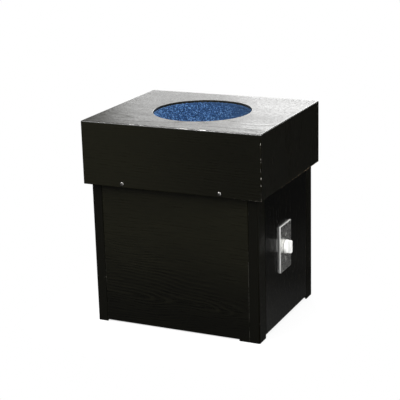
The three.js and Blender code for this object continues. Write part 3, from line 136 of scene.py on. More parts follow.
class Wiring:
    """A node tree being drawn: adds nodes and joins their sockets."""

    def __init__(self, tree):
        self.tree = tree
        tree.nodes.clear()

    def put(self, socket, *values):
        """Sets or joins a socket. Only one that takes many links is given several values."""
        for value in values:
            if isinstance(value, bpy.types.NodeSocket):
                self.tree.links.new(value, socket)
            else:
                socket.default_value = value

    def fill(self, sockets, values):
        for name, value in values.items():
            self.put(sockets[name], value)

    def add(self, kind, values=None, **settings):
        node = self.tree.nodes.new(kind)
        for name, value in settings.items():
            setattr(node, name, value)
        self.fill(node.inputs, values or {})
        return node

    def math(self, operation, *values):
        return self.add("ShaderNodeMath", dict(enumerate(values)), operation=operation).outputs[0]

    def plus(self, a, b):
        return self.math("ADD", a, b)

    def minus(self, a, b):
        return self.math("SUBTRACT", a, b)

    def size_of(self, a):
        return self.math("ABSOLUTE", a)

    def times(self, a, b, plus=None):
        """a times b, with a third value added where one is given."""
        if plus is None:
            return self.math("MULTIPLY", a, b)
        return self.math("MULTIPLY_ADD", a, b, plus)

    def distance(self, a, b):
        """How far the place (a, b) is from nought."""
        return self.math("SQRT", self.plus(self.times(a, a), self.times(b, b)))

    def vector(self, operation, a, b=None):
        node = self.add("ShaderNodeVectorMath", {0: a}, operation=operation)
        if b is not None:
            self.put(node.inputs["Scale" if operation == "SCALE" else 1], b)
        return node.outputs["Value" if operation == "LENGTH" else "Vector"]

    def measured_in(self, vector, size):
        return self.vector("SCALE", vector, self.math("DIVIDE", 1.0, size))

    def split(self, vector):
        return self.add("ShaderNodeSeparateXYZ", {"Vector": vector}).outputs

    def joined(self, x=0.0, y=0.0, z=0.0):
        return self.add("ShaderNodeCombineXYZ", {"X": x, "Y": y, "Z": z}).outputs[0]

    def mix(self, factor, a, b):
        return self.add("ShaderNodeMix", {0: factor, 6: a, 7: b}, data_type="RGBA").outputs[2]

    def between(self, value, low, high, to_low=0.0, to_high=1.0):
        """value spread from low..high to to_low..to_high, held at the ends."""
        return self.add("ShaderNodeMapRange", {
            "Value": value, "From Min": low, "From Max": high, "To Min": to_low, "To Max": to_high,
        }, interpolation_type="SMOOTHSTEP").outputs[0]

    def noise(self, vector, scale=1.0, detail=2.0, roughness=0.5):
        """Noise over a vector. scale is one number, or one for each axis."""
        if isinstance(scale, tuple):
            vector, scale = self.vector("MULTIPLY", vector, scale), 1.0
        return self.add("ShaderNodeTexNoise", {
            "Vector": vector, "Scale": scale, "Detail": detail, "Roughness": roughness,
        }).outputs["Fac"]

    def random(self, low, high, seed):
        """A value of its own for each item, between two numbers or between two vectors."""
        plain = isinstance(low, float)
        sockets = {2: low, 3: high} if plain else {0: low, 1: high}
        node = self.add("FunctionNodeRandomValue", {"Seed": seed, **sockets},
                        data_type="FLOAT" if plain else "FLOAT_VECTOR")
        return node.outputs[int(plain)]

    def group(self, tree, values):
        return self.add("ShaderNodeGroup", values, node_tree=tree).outputs

    def position(self):
        return self.add("ShaderNodeTexCoord").outputs["Object"]

    def placed(self, origin=(0, 0, 0), rotation=(0, 0, 0)):
        """The position moved so that origin is the pattern's own, then turned."""
        moved = self.vector("SUBTRACT", self.position(), origin)
        return self.add("ShaderNodeMapping", {"Vector": moved, "Rotation": rotation}).outputs[0]

    def raised(self, height, distance, strength):
        """The normal of a surface raised by a height."""
        values = {"Height": height, "Distance": distance, "Strength": strength}
        return self.add("ShaderNodeBump", values).outputs[0]

    def moved(self, geometry, socket, value):
        """A geometry transformed by the value of one socket."""
        return self.add("GeometryNodeTransform", {"Geometry": geometry, socket: value}).outputs[0]

    def attribute(self, name, sort):
        node = self.add("GeometryNodeInputNamedAttribute", {"Name": name}, data_type=sort)
        return node.outputs["Attribute"]

    def planted(self, points, shape, rotation, least, most, seed, scale=(1, 1, 1)):
        """A shape on each point, turned on by angles of its own from least to most."""
        shapes = self.add("GeometryNodeInstanceOnPoints", {
            "Points": points, "Instance": shape, "Rotation": rotation, "Scale": scale,
        })
        return self.add("GeometryNodeRotateInstances", {
            "Instances": shapes.outputs[0], "Rotation": self.random(least, most, seed),
            "Local Space": True,
        }).outputs[0]

    def made_real(self, instances, material):
        real = self.add("GeometryNodeRealizeInstances", {"Geometry": instances})
        return self.add("GeometryNodeSetMaterial", {
            "Geometry": real.outputs[0], "Material": material,
        }).outputs[0]


def new_group(name, kind, inputs, outputs):
    """An empty node group. Each input has its default, or its kind where it has none."""
    tree = bpy.data.node_groups.new(name, kind)
    for label, value in inputs.items():
        sort = value if isinstance(value, str) else type(value).__name__.capitalize()
        socket = tree.interface.new_socket(label, in_out="INPUT", socket_type="NodeSocket" + sort)
        if sort != value:
            socket.default_value = value
    for label, sort in outputs.items():
        tree.interface.new_socket(label, in_out="OUTPUT", socket_type="NodeSocket" + sort)
    w = Wiring(tree)
    given = w.add("NodeGroupInput").outputs
    out = w.add("NodeGroupOutput").inputs
    return tree, w, given, out


def shader_group(name, inputs, masks):
    """An empty shader group that puts out masks, whose names are given."""
    return new_group(name, "ShaderNodeTree", inputs, dict.fromkeys(masks, "Float"))


def geometry_group(name, inputs):
    group = new_group(name, "GeometryNodeTree", {"Geometry": "Geometry", **inputs},
                      {"Geometry": "Geometry"})
    group[0].is_modifier = True
    return group


def oak_figure_group():
    """Flat-sawn oak. Board runs along x, with y across it and z through it, in metres."""
    tree, w, given, out = shader_group(
        "oak figure",
        {"Board": "Vector", "Ring spacing": 6 * MM, "Heart height": 30 * MM, "Taper": 0.05,
         "Wander": 20 * MM},
        ("Rings", "Pores", "Fibre", "Cloud"),
    )
    board = given["Board"]
    long_waves = w.noise(board, (3.0, 9.0, 9.0))
    short_waves = w.noise(board, (14.0, 60.0, 60.0), 3.0)
    along, across, through = w.split(board)
    sway = w.times(w.minus(long_waves, 0.5), given["Wander"])
    rise = w.plus(w.plus(through, given["Heart height"]), w.times(along, given["Taper"]))
    rise = w.plus(rise, w.times(sway, 1.4))
    radius = w.distance(w.plus(across, sway), rise)
    count = w.math("DIVIDE", radius, given["Ring spacing"])
    age = w.math("FRACT", w.plus(count, w.times(short_waves, 0.7)))
    early_wood = w.between(age, 0.0, 0.35, 1.0, 0.0)
    late_wood = w.between(age, 0.78, 1.0)
    rings = w.math("MAXIMUM", early_wood, late_wood)
    pore_cells = w.noise(board, (130.0, 2600.0, 2600.0), 1.0)
    pore_room = w.times(rings, -0.11, plus=0.66)
    w.fill(out, {
        "Rings": rings,
        "Pores": w.between(w.minus(pore_cells, pore_room), 0.0, 0.06),
        "Fibre": w.noise(board, (22.0, 900.0, 900.0), 3.0),
        "Cloud": w.noise(board, (4.0, 16.0, 16.0), 3.0),
    })
    return tree


def rubbed_group():
    """Where handling has rubbed a finish: scattered flecks that gather in places. Given a pale colour,
    they are also painted highlight along an arris.
    """
    tree, w, given, out = shader_group(
        "rubbed places", {"Position": "Vector", "Fleck size": 4 * MM, "Amount": 0.5}, ("Rubbed",))
    flecks = w.noise(w.measured_in(given["Position"], given["Fleck size"]), 1.0, 3.0, 0.6)
    gathered = w.noise(given["Position"], 11.0)
    level = w.plus(flecks, w.times(w.minus(gathered, 0.5), 0.9))
    threshold = w.times(given["Amount"], -0.5, plus=0.95)
    w.put(out["Rubbed"], w.between(w.minus(level, threshold), 0.0, 0.07))
    return tree


def mottle_group():
    """Uneven surface of a cast, moulded or painted part: soft tone and a fine skin."""
    tree, w, given, out = shader_group(
        "mottle", {"Position": "Vector", "Grain size": 1 * MM, "Patch size": 30 * MM},
        ("Patches", "Skin"))
    w.fill(out, {
        "Patches": w.noise(w.measured_in(given["Position"], given["Patch size"]), 1.0, 3.0),
        "Skin": w.noise(w.measured_in(given["Position"], given["Grain size"])),
    })
    return tree


def brushed_group():
    """Lines left by brushing or turning, drawn out along x of the given position."""
    tree, w, given, out = shader_group(
        "brushed lines", {"Position": "Vector", "Line width": 0.2 * MM, "Stretch": 60.0},
        ("Lines", "Scratches"))
    width = given["Line width"]
    line = w.joined(w.times(width, given["Stretch"]), width, width)
    stretched = w.vector("DIVIDE", given["Position"], line)
    sparse = w.noise(w.vector("SCALE", stretched, 0.3))
    w.fill(out, {
        "Lines": w.noise(stretched, 1.0, 3.0, 0.6),
        "Scratches": w.between(sparse, 0.66, 0.7),
    })
    return tree


oak_figure = oak_figure_group()
rubbed_places = rubbed_group()
mottle = mottle_group()
brushed_lines = brushed_group()


def uneven(w, position, grain, patch):
    """The mottle's patches and skin at a position."""
    return w.group(mottle, {"Position": position, "Grain size": grain, "Patch size": patch})


# Finishes, in which lengths are in metres

def rgb(r, g, b):
    return (r, g, b, 1.0)


def grey(level):
    return rgb(level, level, level)


def new_material(name, view_colour):
    material = bpy.data.materials.new(name)
    material.use_nodes = True
    material.diffuse_color = view_colour
    w = Wiring(material.node_tree)
    surface = w.add("ShaderNodeBsdfPrincipled")
    w.add("ShaderNodeOutputMaterial", {"Surface": surface.outputs[0]})
    return material, w, surface


# What shows where the lacquer is rubbed: darkest and palest wood, or the lacquer only dulled. The pale
# grey and the dulled lacquer on the arrises are wear and also painted highlight.
PALE_WEAR_AND_HIGHLIGHT = (rgb(0.20, 0.18, 0.15), rgb(0.62, 0.59, 0.54))
BARE_BROWN = (rgb(0.14, 0.10, 0.06), rgb(0.45, 0.34, 0.23))
DULLED_AND_HIGHLIGHT = (rgb(0.02, 0.02, 0.017), rgb(0.065, 0.063, 0.055))

# How a board's own axes lie in the room: which way its grain runs and which way it faces
GRAIN_ALONG = {
    "x facing front": (QUARTER, 0, 0),
    "x facing up": (0, 0, 0),
    "y facing side": (QUARTER, 0, -QUARTER),
    "z facing front": (QUARTER, QUARTER, 0),
    "z facing side": (0, QUARTER, 0),
}

# Oak's stained tone as shares of its ground
OAK_TINT_SHARES = (1.07, 1.03, 0.55)

# Where near-white paint on the lid's front top edge is a painted highlight: depths below the top, and
# places on y
GLINT_PAINT_FOOT, GLINT_PAINT_HEAD = 1.3 * MM, 1.0 * MM
GLINT_PAINT_BACK, GLINT_PAINT_FRONT = -0.15, -0.16


def black_oak(name, lie, origin, spacing=6 * MM, heart=30 * MM, taper=0.05, wander=20 * MM,
              ground=0.0075, contrast=0.35, shown_near=None, lacquer=1.25, polish=1.0, relief=0.4,
              fade=None, flecked=0.0, worn=None, bare=PALE_WEAR_AND_HIGHLIGHT, painted_glints=()):
    """Ebonised oak under satin lacquer.

    The grain lies as lie says, from origin, and its rings have a spacing, the height of their
    heart, a taper and a wander. ground is the oak's tone and contrast how far its figure shows.
    shown_near is a place (x, z, radius) that the figure shows around; it is faint elsewhere.
    lacquer is the coat's index of refraction, polish scales its roughness and relief is how open
    the grain is. fade is an axis, two places on it and the share of the tone at each: painted
    shade and light, the board darker or lighter along that axis. flecked is how far the lacquer
    is speckled. worn is how far it is rubbed, for an arris: a number, or an axis, two places on
    it and the number at each; where the rubbed flecks are pale they are also painted highlight.
    Each of the scuffs is a place on x, half its length and its strength, and lies on the lid's
    front top edge: near-white paint there is a painted highlight.
    """
    material, w, surface = new_material(name, rgb(0.012, 0.011, 0.007))
    position = w.position()
    place = dict(zip("xyz", w.split(position)))
    board = w.placed(origin, GRAIN_ALONG[lie])
    rings, pores, fibre, cloud = w.group(oak_figure, {
        "Board": board, "Ring spacing": spacing, "Heart height": heart,
        "Taper": taper, "Wander": wander,
    })

    def along(axis, *span):
        return w.between(place[axis], *span)

    def tone(share):
        return rgb(*(tint * ground * share for tint in OAK_TINT_SHARES))

    shown = rings
    if shown_near is not None:
        x, z, radius = shown_near
        off = w.vector("MULTIPLY", w.vector("SUBTRACT", position, (x, 0, z)), (0.6, 0.0, 1.0))
        off = w.times(w.noise(position, 22.0), 0.12, plus=w.vector("LENGTH", off))
        shown = w.times(rings, w.between(off, radius, radius + 0.1, 1.0, 0.25))
    stain = w.mix(shown, tone(1 - 0.45 * contrast), tone(1 + contrast))
    stain = w.mix(w.between(fibre, 0.35, 0.75, 0.0, 0.5), stain, tone(1 + 1.4 * contrast))
    stain = w.mix(w.between(cloud, 0.3, 0.75, 0.0, 0.4), stain, tone(max(1 - contrast, 0.1)))
    stain = w.mix(pores, stain, tone(0.3))
    if shown_near is not None:
        stain = w.mix(w.between(off, radius, radius + 0.1, 0.0, 0.6), stain, tone(1.05))
    # Painted shade and light: the stain darkened or lightened along an axis.
    if fade is not None:
        stain = w.vector("SCALE", stain, along(*fade))
    gloss = 0.17
    for part, share in ((fibre, 0.16), (cloud, 0.08), (pores, 0.2), (rings, 0.05)):
        gloss = w.times(part, share, plus=gloss)
    if flecked:
        speck = w.noise(board, (150.0, 420.0, 420.0), 3.0, 0.7)
        haze = w.times(w.between(speck, 0.48, 0.75), flecked)
        stain = w.mix(haze, stain, rgb(0.05, 0.05, 0.048))
        gloss = w.plus(gloss, w.times(w.between(speck, 0.5, 0.3, 0.0, 0.3), flecked))
    gloss = w.times(gloss, polish)
    if worn is not None:
        rubbed = w.group(rubbed_places, {
            "Position": position, "Fleck size": 4 * MM,
            "Amount": along(*worn) if isinstance(worn, tuple) else worn,
        })["Rubbed"]
        stain = w.mix(rubbed, stain, w.mix(fibre, *bare))
        gloss = w.times(rubbed, 0.12, plus=gloss)
    # Painted highlight: near-white patches on the front top edge where it catches the lamps.
    for middle, half, strength in painted_glints:
        off = w.size_of(w.minus(place["x"], middle))
        ragged = w.times(w.noise(position, 260.0), 1.2 * half, plus=off)
        pale = w.between(ragged, 1.5 * half, 0.9 * half, 0.0, strength)
        pale = w.times(pale, along("z", lid_top_z - GLINT_PAINT_FOOT, lid_top_z - GLINT_PAINT_HEAD))
        pale = w.times(pale, along("y", GLINT_PAINT_BACK, GLINT_PAINT_FRONT))
        stain = w.mix(pale, stain, rgb(0.85, 0.85, 0.82))
    grain = w.times(rings, -0.35, plus=w.times(pores, -1.0, plus=fibre))
    w.fill(surface.inputs, {
        "Base Color": stain, "Roughness": gloss, "IOR": lacquer,
        "Normal": w.raised(grain, 0.22 * MM, relief),
    })
    return material


def board_finishes(name, lie, origin, worn=0.6, bare=PALE_WEAR_AND_HIGHLIGHT, edge_lacquer=1.07, **figure):
    """The two finishes of a board: its faces, and its rubbed arrises, whose lacquer is thin. Where the
    arrises' flecks are pale, they are wear and also painted highlight.
    """
    rubbed = dict(figure, lacquer=edge_lacquer)
    return [
        black_oak(name, lie, origin, **figure),
        black_oak(name + "_arris", lie, origin, worn=worn, bare=bare, **rubbed),
    ]


def plywood_finish():
    """Birch plywood lying flat: pale faces, with its plies showing on the cut edges."""
    material, w, surface = new_material("birch_ply", rgb(0.45, 0.3, 0.16))
    position = w.position()
    fibre = w.noise(position, (24.0, 520.0, 520.0), 3.0)
    cloud = w.noise(position, 18.0, 3.0)
    face = w.mix(fibre, rgb(0.36, 0.235, 0.125), rgb(0.52, 0.37, 0.215))
    face = w.mix(w.between(cloud, 0.35, 0.75, 0.0, 0.5), face, rgb(0.42, 0.25, 0.12))
    level = w.math("DIVIDE", w.split(position)["Z"], 1.5 * MM)
    ply = w.between(w.math("PINGPONG", level, 1.0), 0.35, 0.65)
    edge = w.mix(ply, rgb(0.20, 0.115, 0.055), rgb(0.46, 0.31, 0.17))
    facing_up = w.split(w.add("ShaderNodeTexCoord").outputs["Normal"])["Z"]
    w.fill(surface.inputs, {
        "Base Color": w.mix(w.between(w.size_of(facing_up), 0.6, 0.3), face, edge),
        "Roughness": w.times(fibre, 0.2, plus=0.55),
        "Normal": w.raised(fibre, 0.2 * MM, 0.5),
    })
    return material


def carpet_finish(name, is_pile):
    """Deep blue carpet. On the pile, the attribute tuft gives each tuft its own shade."""
    material, w, surface = new_material(name, rgb(0.02, 0.09, 0.32))
    position = w.position()
    blotch = w.noise(position, 95.0, 3.0, 0.6)
    if is_pile:
        own = w.add("ShaderNodeAttribute", attribute_name="tuft").outputs["Fac"]
        shade = w.times(own, 0.8, plus=w.times(blotch, 0.3))
        colour = w.mix(w.between(shade, 0.1, 0.6), rgb(0.022, 0.048, 0.105), rgb(0.04, 0.11, 0.26))
        colour = w.mix(w.between(shade, 0.62, 0.95), colour, rgb(0.13, 0.26, 0.46))
        across, _, up = w.split(position)
        # Painted light and shade: the pile brighter to the left and darker to the right.
        colour = w.vector("SCALE", colour, w.between(across, -0.1, 0.09, 1.5, 0.5))
        # Painted shade: the pile darker just under the lid's lip, in a deeper band to the right.
        sunk = w.minus(wall_carpet_high.z, up)
        rim = w.math("DIVIDE", sunk, w.between(across, -0.08, 0.08, 4 * MM, 12 * MM))
        colour = w.vector("SCALE", colour, w.between(rim, 0.3, 1.0, 0.4, 1.0))
    else:
        colour = w.mix(blotch, rgb(0.010, 0.025, 0.06), rgb(0.02, 0.06, 0.16))
    w.fill(surface.inputs, {
        "Base Color": colour, "Roughness": 0.95, "Specular IOR Level": 0.2,
        "Sheen Weight": 0.35, "Sheen Roughness": 0.5, "Sheen Tint": rgb(0.25, 0.5, 0.95),
        "Normal": w.raised(w.noise(position, 2600.0), 0.3 * MM, 0.6),
    })
    return material


def metal_finish(name, dark, light, rough, line_width=0.2 * MM, stretch=60.0, turn=(0, 0, 0),
                 relief=0.02 * MM, patch=30 * MM, mottled=0.35, metallic=1.0):
    """Bare metal with the lines its making left, darker in patches."""
    material, w, surface = new_material(name, light)
    position = w.placed(rotation=turn)
    lines, scratches = w.group(brushed_lines, {
        "Position": position, "Line width": line_width, "Stretch": stretch,
    })
    patches, _ = uneven(w, position, 0.8 * MM, patch)
    colour = w.mix(w.times(patches, mottled), w.mix(lines, dark, light), dark)
    w.fill(surface.inputs, {
        "Base Color": w.mix(w.times(scratches, 0.35), colour, light), "Metallic": metallic,
        "Roughness": w.times(patches, 0.1, plus=w.times(lines, 0.18, plus=rough - 0.09)),
        "Normal": w.raised(lines, relief, 0.6),
    })
    return material


def cast_finish(name, dark, light):
    """Sand-cast aluminium: grainy, dull and a little uneven."""
    material, w, surface = new_material(name, light)
    patches, skin = uneven(w, w.position(), 0.7 * MM, 20 * MM)
    colour = w.mix(w.between(skin, 0.55, 0.8, 0.0, 0.4), w.mix(patches, dark, light), dark)
    w.fill(surface.inputs, {
        "Base Color": colour, "Metallic": 1.0, "Roughness": w.times(skin, 0.2, plus=0.42),
        "Normal": w.raised(skin, 0.25 * MM, 0.5),
    })
    return material


def moulded_finish(name, colour, tint, rough, grain=0.6 * MM, relief=0.02 * MM, dusty=0.15):
    """Plastic, rubber or paint: one colour, slightly uneven, with a fine skin."""
    material, w, surface = new_material(name, colour)
    patches, skin = uneven(w, w.position(), grain, 12 * MM)
    w.fill(surface.inputs, {
        "Base Color": w.mix(w.times(patches, dusty * 2), colour, tint),
        "Roughness": w.times(patches, 0.16, plus=rough - 0.08),
        "Normal": w.raised(skin, relief, 0.5),
    })
    return material


def winding_finish():
    """Stator and rotor: varnished laminations, and enamelled copper heads past the stator's ends."""
    material, w, surface = new_material("motor_core", rgb(0.2, 0.18, 0.16))
    position = w.placed(motor_middle)
    right, back, up = w.split(position)
    sheets = w.math("PINGPONG", w.math("DIVIDE", up, 0.5 * MM), 1.0)
    patches, skin = uneven(w, position, 0.8 * MM, 15 * MM)
    steel = w.mix(sheets, rgb(0.10, 0.09, 0.08), rgb(0.26, 0.24, 0.22))
    around = w.math("ARCTAN2", back, right)
    across = w.distance(right, back)
    strand = w.math("SINE", w.times(around, 260.0, plus=w.times(across, 2400.0)))
    wire = w.mix(w.between(strand, -0.8, 0.8), rgb(0.12, 0.035, 0.012), rgb(0.62, 0.24, 0.09))
    wire = w.mix(w.times(patches, 0.5), wire, rgb(0.22, 0.09, 0.04))
    stack_end = 29 * MM
    is_wire = w.between(w.size_of(up), stack_end, stack_end + 0.3 * MM)
    w.fill(surface.inputs, {
        "Base Color": w.mix(is_wire, steel, wire), "Metallic": 1.0,
        "Roughness": w.times(skin, 0.2, plus=0.38),
        "Normal": w.raised(w.plus(strand, w.times(sheets, 0.5)), 0.2 * MM, 0.6),
    })
    return material


# fade darkens the front and back panels towards their feet: painted shade.
front_figure = dict(spacing=6.8 * MM, heart=12 * MM, taper=0.10, wander=70 * MM, ground=0.0058,
                    contrast=1.2, relief=0.25, shown_near=(-0.05, 0.06, 0.13),
                    fade=("z", 0.04, 0.26, 0.42, 1.2))
plain_figure = dict(spacing=5.5 * MM, heart=90 * MM, taper=0.02, wander=20 * MM)
skirt_figure = dict(ground=0.0056, contrast=0.2, relief=0.25, **plain_figure)

lid_top_oak = board_finishes(
    "oak_lid_top", "x facing up", (axis_x - 0.4, -0.13, lid_top_z), worn=0.5,
    spacing=5.8 * MM, heart=60 * MM, taper=0.03, wander=30 * MM, relief=0.06, flecked=0.8)
# The lip's scuffs are painted highlights on the lid's front top edge.
lid_lip_oak = black_oak(
    "oak_lid_lip", "x facing up", (axis_x + 0.05, 0.06, lid_top_z), worn=0.3, lacquer=1.5, polish=0.42,
    painted_glints=((0.082, 0.011, 0.5), (0.037, 0.018, 0.24), (-0.094, 0.010, 0.16), (-0.07, 0.007, 0.16)),
    **skirt_figure)
# fade makes the lid's front lighter at the left and darker at the right: painted light and shade. Its
# rubbed flecks gather towards the right corner: wear and also painted highlight.
skirt_front_oak = board_finishes(
    "oak_skirt_front", "x facing front", (0.9, -lid_half_depth, skirt_foot_z - 0.05),
    worn=("x", 0.05, 0.2, 0.1, 0.84), fade=("x", -0.2, 0.2, 1.25, 0.6), **skirt_figure)
skirt_back_oak = board_finishes(
    "oak_skirt_back", "x facing front", (2.3, 0.2, skirt_foot_z + 0.03), **skirt_figure)
skirt_side_oak = board_finishes(
    "oak_skirt_side", "y facing side", (axis_x, 0.7, skirt_foot_z - 0.03),
    worn=("y", -0.05, 0.1, 0.55, 1.1), bare=BARE_BROWN, ground=0.0028, contrast=0.3,
    lacquer=1.42, relief=0.2, **plain_figure)
# The front panel's arrises are rubbed paler low down: wear and also painted highlight.
front_panel_oak = board_finishes(
    "oak_front_panel", "x facing front", (axis_x - 0.02, -lid_half_depth, 0.085),
    worn=("z", 0.22, 0.27, 1.05, 0.3), bare=DULLED_AND_HIGHLIGHT, **front_figure)
back_panel_oak = board_finishes(
    "oak_back_panel", "x facing front", (axis_x + 0.1, 0.17, 0.21), worn=0.3, **front_figure)
# fade makes the side panels lighter at the foot and darker under the lid: painted light and shade.
side_panel_oak = board_finishes(
    "oak_side_panel", "z facing side", (axis_x, 0.03, 0.4), worn=0.15, heart=50 * MM,
    wander=30 * MM, ground=0.0016, contrast=0.4, lacquer=1.5, polish=0.5, relief=0.15,
    fade=("z", 0.1, 0.3, 1.3, 0.4))
# The posts' pale rubbed flecks are wear and also painted highlight along the arrises.
post_oak = board_finishes(
    "oak_post", "z facing front", (axis_x + 0.9, 0.05, 0.3), worn=0.35, edge_lacquer=1.12,
    ground=0.0027, polish=1.1, **plain_figure)

birch_ply = plywood_finish()
pile = carpet_finish("blue_carpet_pile", True)
backing = carpet_finish("blue_carpet_backing", False)
dark_screw = metal_finish("dark_plated_screw", rgb(0.09, 0.088, 0.085), rgb(0.28, 0.27, 0.26), 0.22)
plate_steel = metal_finish(
    "brushed_plate", rgb(0.62, 0.62, 0.60), rgb(0.97, 0.97, 0.94), 0.22, line_width=0.5 * MM,
    stretch=30.0, turn=(0, QUARTER, 0), relief=0.04 * MM, patch=9 * MM, mottled=0.8, metallic=0.945)
plate_edge = metal_finish(
    "plate_edge", rgb(0.66, 0.66, 0.64), rgb(0.82, 0.82, 0.80), 0.4, metallic=0.35)
galvanised = metal_finish(
    "galvanised_sheet", rgb(0.34, 0.35, 0.36), rgb(0.58, 0.59, 0.6), 0.45, line_width=4 * MM,
    stretch=2.0, relief=0.03 * MM, patch=8 * MM, mottled=0.6)
machined_steel = metal_finish(
    "machined_steel", rgb(0.36, 0.365, 0.37), rgb(0.6, 0.61, 0.62), 0.28, line_width=0.3 * MM,
    stretch=20.0)
cast_aluminium = cast_finish("cast_aluminium", rgb(0.34, 0.35, 0.36), rgb(0.58, 0.59, 0.6))
core_finish = winding_finish()
motor_paint = moulded_finish(
    "motor_enamel", rgb(0.022, 0.027, 0.032), rgb(0.06, 0.065, 0.07), 0.42, grain=1.2 * MM,
    relief=0.06 * MM)
white_plastic = moulded_finish(
    "white_knob", rgb(0.92, 0.92, 0.90), rgb(0.82, 0.81, 0.77), 0.26, dusty=0.12)
black_plastic = moulded_finish("black_moulding", grey(0.018), grey(0.045), 0.5)
black_rubber = moulded_finish(
    "black_rubber", grey(0.012), rgb(0.04, 0.04, 0.038), 0.75, grain=0.9 * MM, relief=0.08 * MM,
    dusty=0.3)
dial_ink = moulded_finish("dial_ink", grey(0.01), grey(0.02), 0.55)


# Meshes

def as_object(name, mesh, materials):
    piece = bpy.data.objects.new(name, mesh)
    bpy.context.scene.collection.objects.link(piece)
    for material in materials:
        mesh.materials.append(material)
    return piece


def finish_piece(piece, body, slot, *nodes):
    """Says of a piece which body it rides on and which nodes it replaces; slot is not used."""
    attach(piece, body)
    if nodes:
        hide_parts(*nodes)


def mesh_from(bm, name):
    """A mesh of a bmesh, shaded smooth but at its sharp edges."""
    bmesh.ops.remove_doubles(bm, verts=bm.verts, dist=MERGED_WITHIN)
    bmesh.ops.recalc_face_normals(bm, faces=bm.faces)
    for face in bm.faces:
        face.smooth = True
    mesh = bpy.data.meshes.new(name)
    bm.to_mesh(mesh)
    bm.free()
    mesh.set_sharp_from_angle(angle=SMOOTH_BELOW)
    return mesh


def solid_piece(bm, name, finishes, slot, node, body="cabinet"):
    """A piece in place of a node, whose large faces look flat up to their eased edges."""
    piece = as_object(name, mesh_from(bm, name), finishes)
    weighted = piece.modifiers.new("flat faces", "WEIGHTED_NORMAL")
    weighted.keep_sharp = True
    weighted.weight = 100
    finish_piece(piece, body, slot, node)


def cad_copy(node, easing):
    """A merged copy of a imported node's mesh, in the frame's metres, with its arrises eased."""
    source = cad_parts[node]
    bm = bmesh.new()
    bm.from_mesh(source.data)
    bmesh.ops.transform(bm, matrix=source.matrix_world, verts=bm.verts)
    bmesh.ops.remove_doubles(bm, verts=bm.verts, dist=MERGED_WITHIN)
    bmesh.ops.dissolve_limit(bm, angle_limit=math.radians(1), verts=bm.verts, edges=bm.edges)
    bmesh.ops.recalc_face_normals(bm, faces=bm.faces)
    edges = [edge for edge in bm.edges
             if len(edge.link_faces) == 2 and edge.calc_face_angle() > EASED_ABOVE]
    bmesh.ops.bevel(bm, geom=edges, offset=easing, segments=2, profile=0.5, affect="EDGES",
                    clamp_overlap=True)
    bm.normal_update()
    return bm


def dress_board(node, finishes):
    """A cabinet board with its arrises and corners eased and rubbed."""
    bm = cad_copy(node, BOARD_ARRIS)
    for face in bm.faces:
        face.material_index = int(max(map(abs, face.normal)) < SQUARE_ON)
    solid_piece(bm, node + "_board", finishes, "black_oak", node)


def eased_copy(node, name, finishes, slot, easing):
    """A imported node's own form with its corners just eased.

    A second finish, if there is one, is for all but the face to the right.
    """
    bm = cad_copy(node, easing)
    for face in bm.faces:
        face.material_index = int(len(finishes) > 1 and face.normal.x < SQUARE_ON)
    solid_piece(bm, name, finishes, slot, node)


def arc(centre, radius, start, end, steps=5):
    return [
        (centre[0] + radius * math.cos(start + (end - start) * i / steps),
         centre[1] + radius * math.sin(start + (end - start) * i / steps))
        for i in range(steps + 1)
    ]


def turned_ring(bm, radius, z, sides, centre_x=0.0, turned_on=0.0):
    """Points round a vertical line, turned on by a number of sides, or the pole on the line."""
    turns = [2 * math.pi * (i + turned_on) / sides for i in range(sides if radius else 1)]
    return [bm.verts.new((centre_x + radius * math.cos(turn), radius * math.sin(turn), z))
            for turn in turns]


def bridge(bm, low, high, finish=0):
    """Faces between two rings of as many points, of which either may be a pole."""
    count = max(len(low), len(high))
    for i in range(count):
        j = (i + 1) % count
        corners = [low[i % len(low)], low[j % len(low)], high[j % len(high)], high[i % len(high)]]
        bm.faces.new(list(dict.fromkeys(corners))).material_index = finish


def lathe(profile, sides, centre_x=0.0):
    """Turns a [radius, height] profile about a vertical line. A radius of nought closes a pole."""
    bm = bmesh.new()
    rings = [turned_ring(bm, radius, z, sides, centre_x) for radius, z in profile]
    for low, high in zip(rings, rings[1:]):
        bridge(bm, low, high)
    if profile[0][0] and profile[-1][0]:
        bridge(bm, rings[-1], rings[0])
    return bm


# Lid: four mitred skirt boards and a top, fitted edge to edge under one lacquer

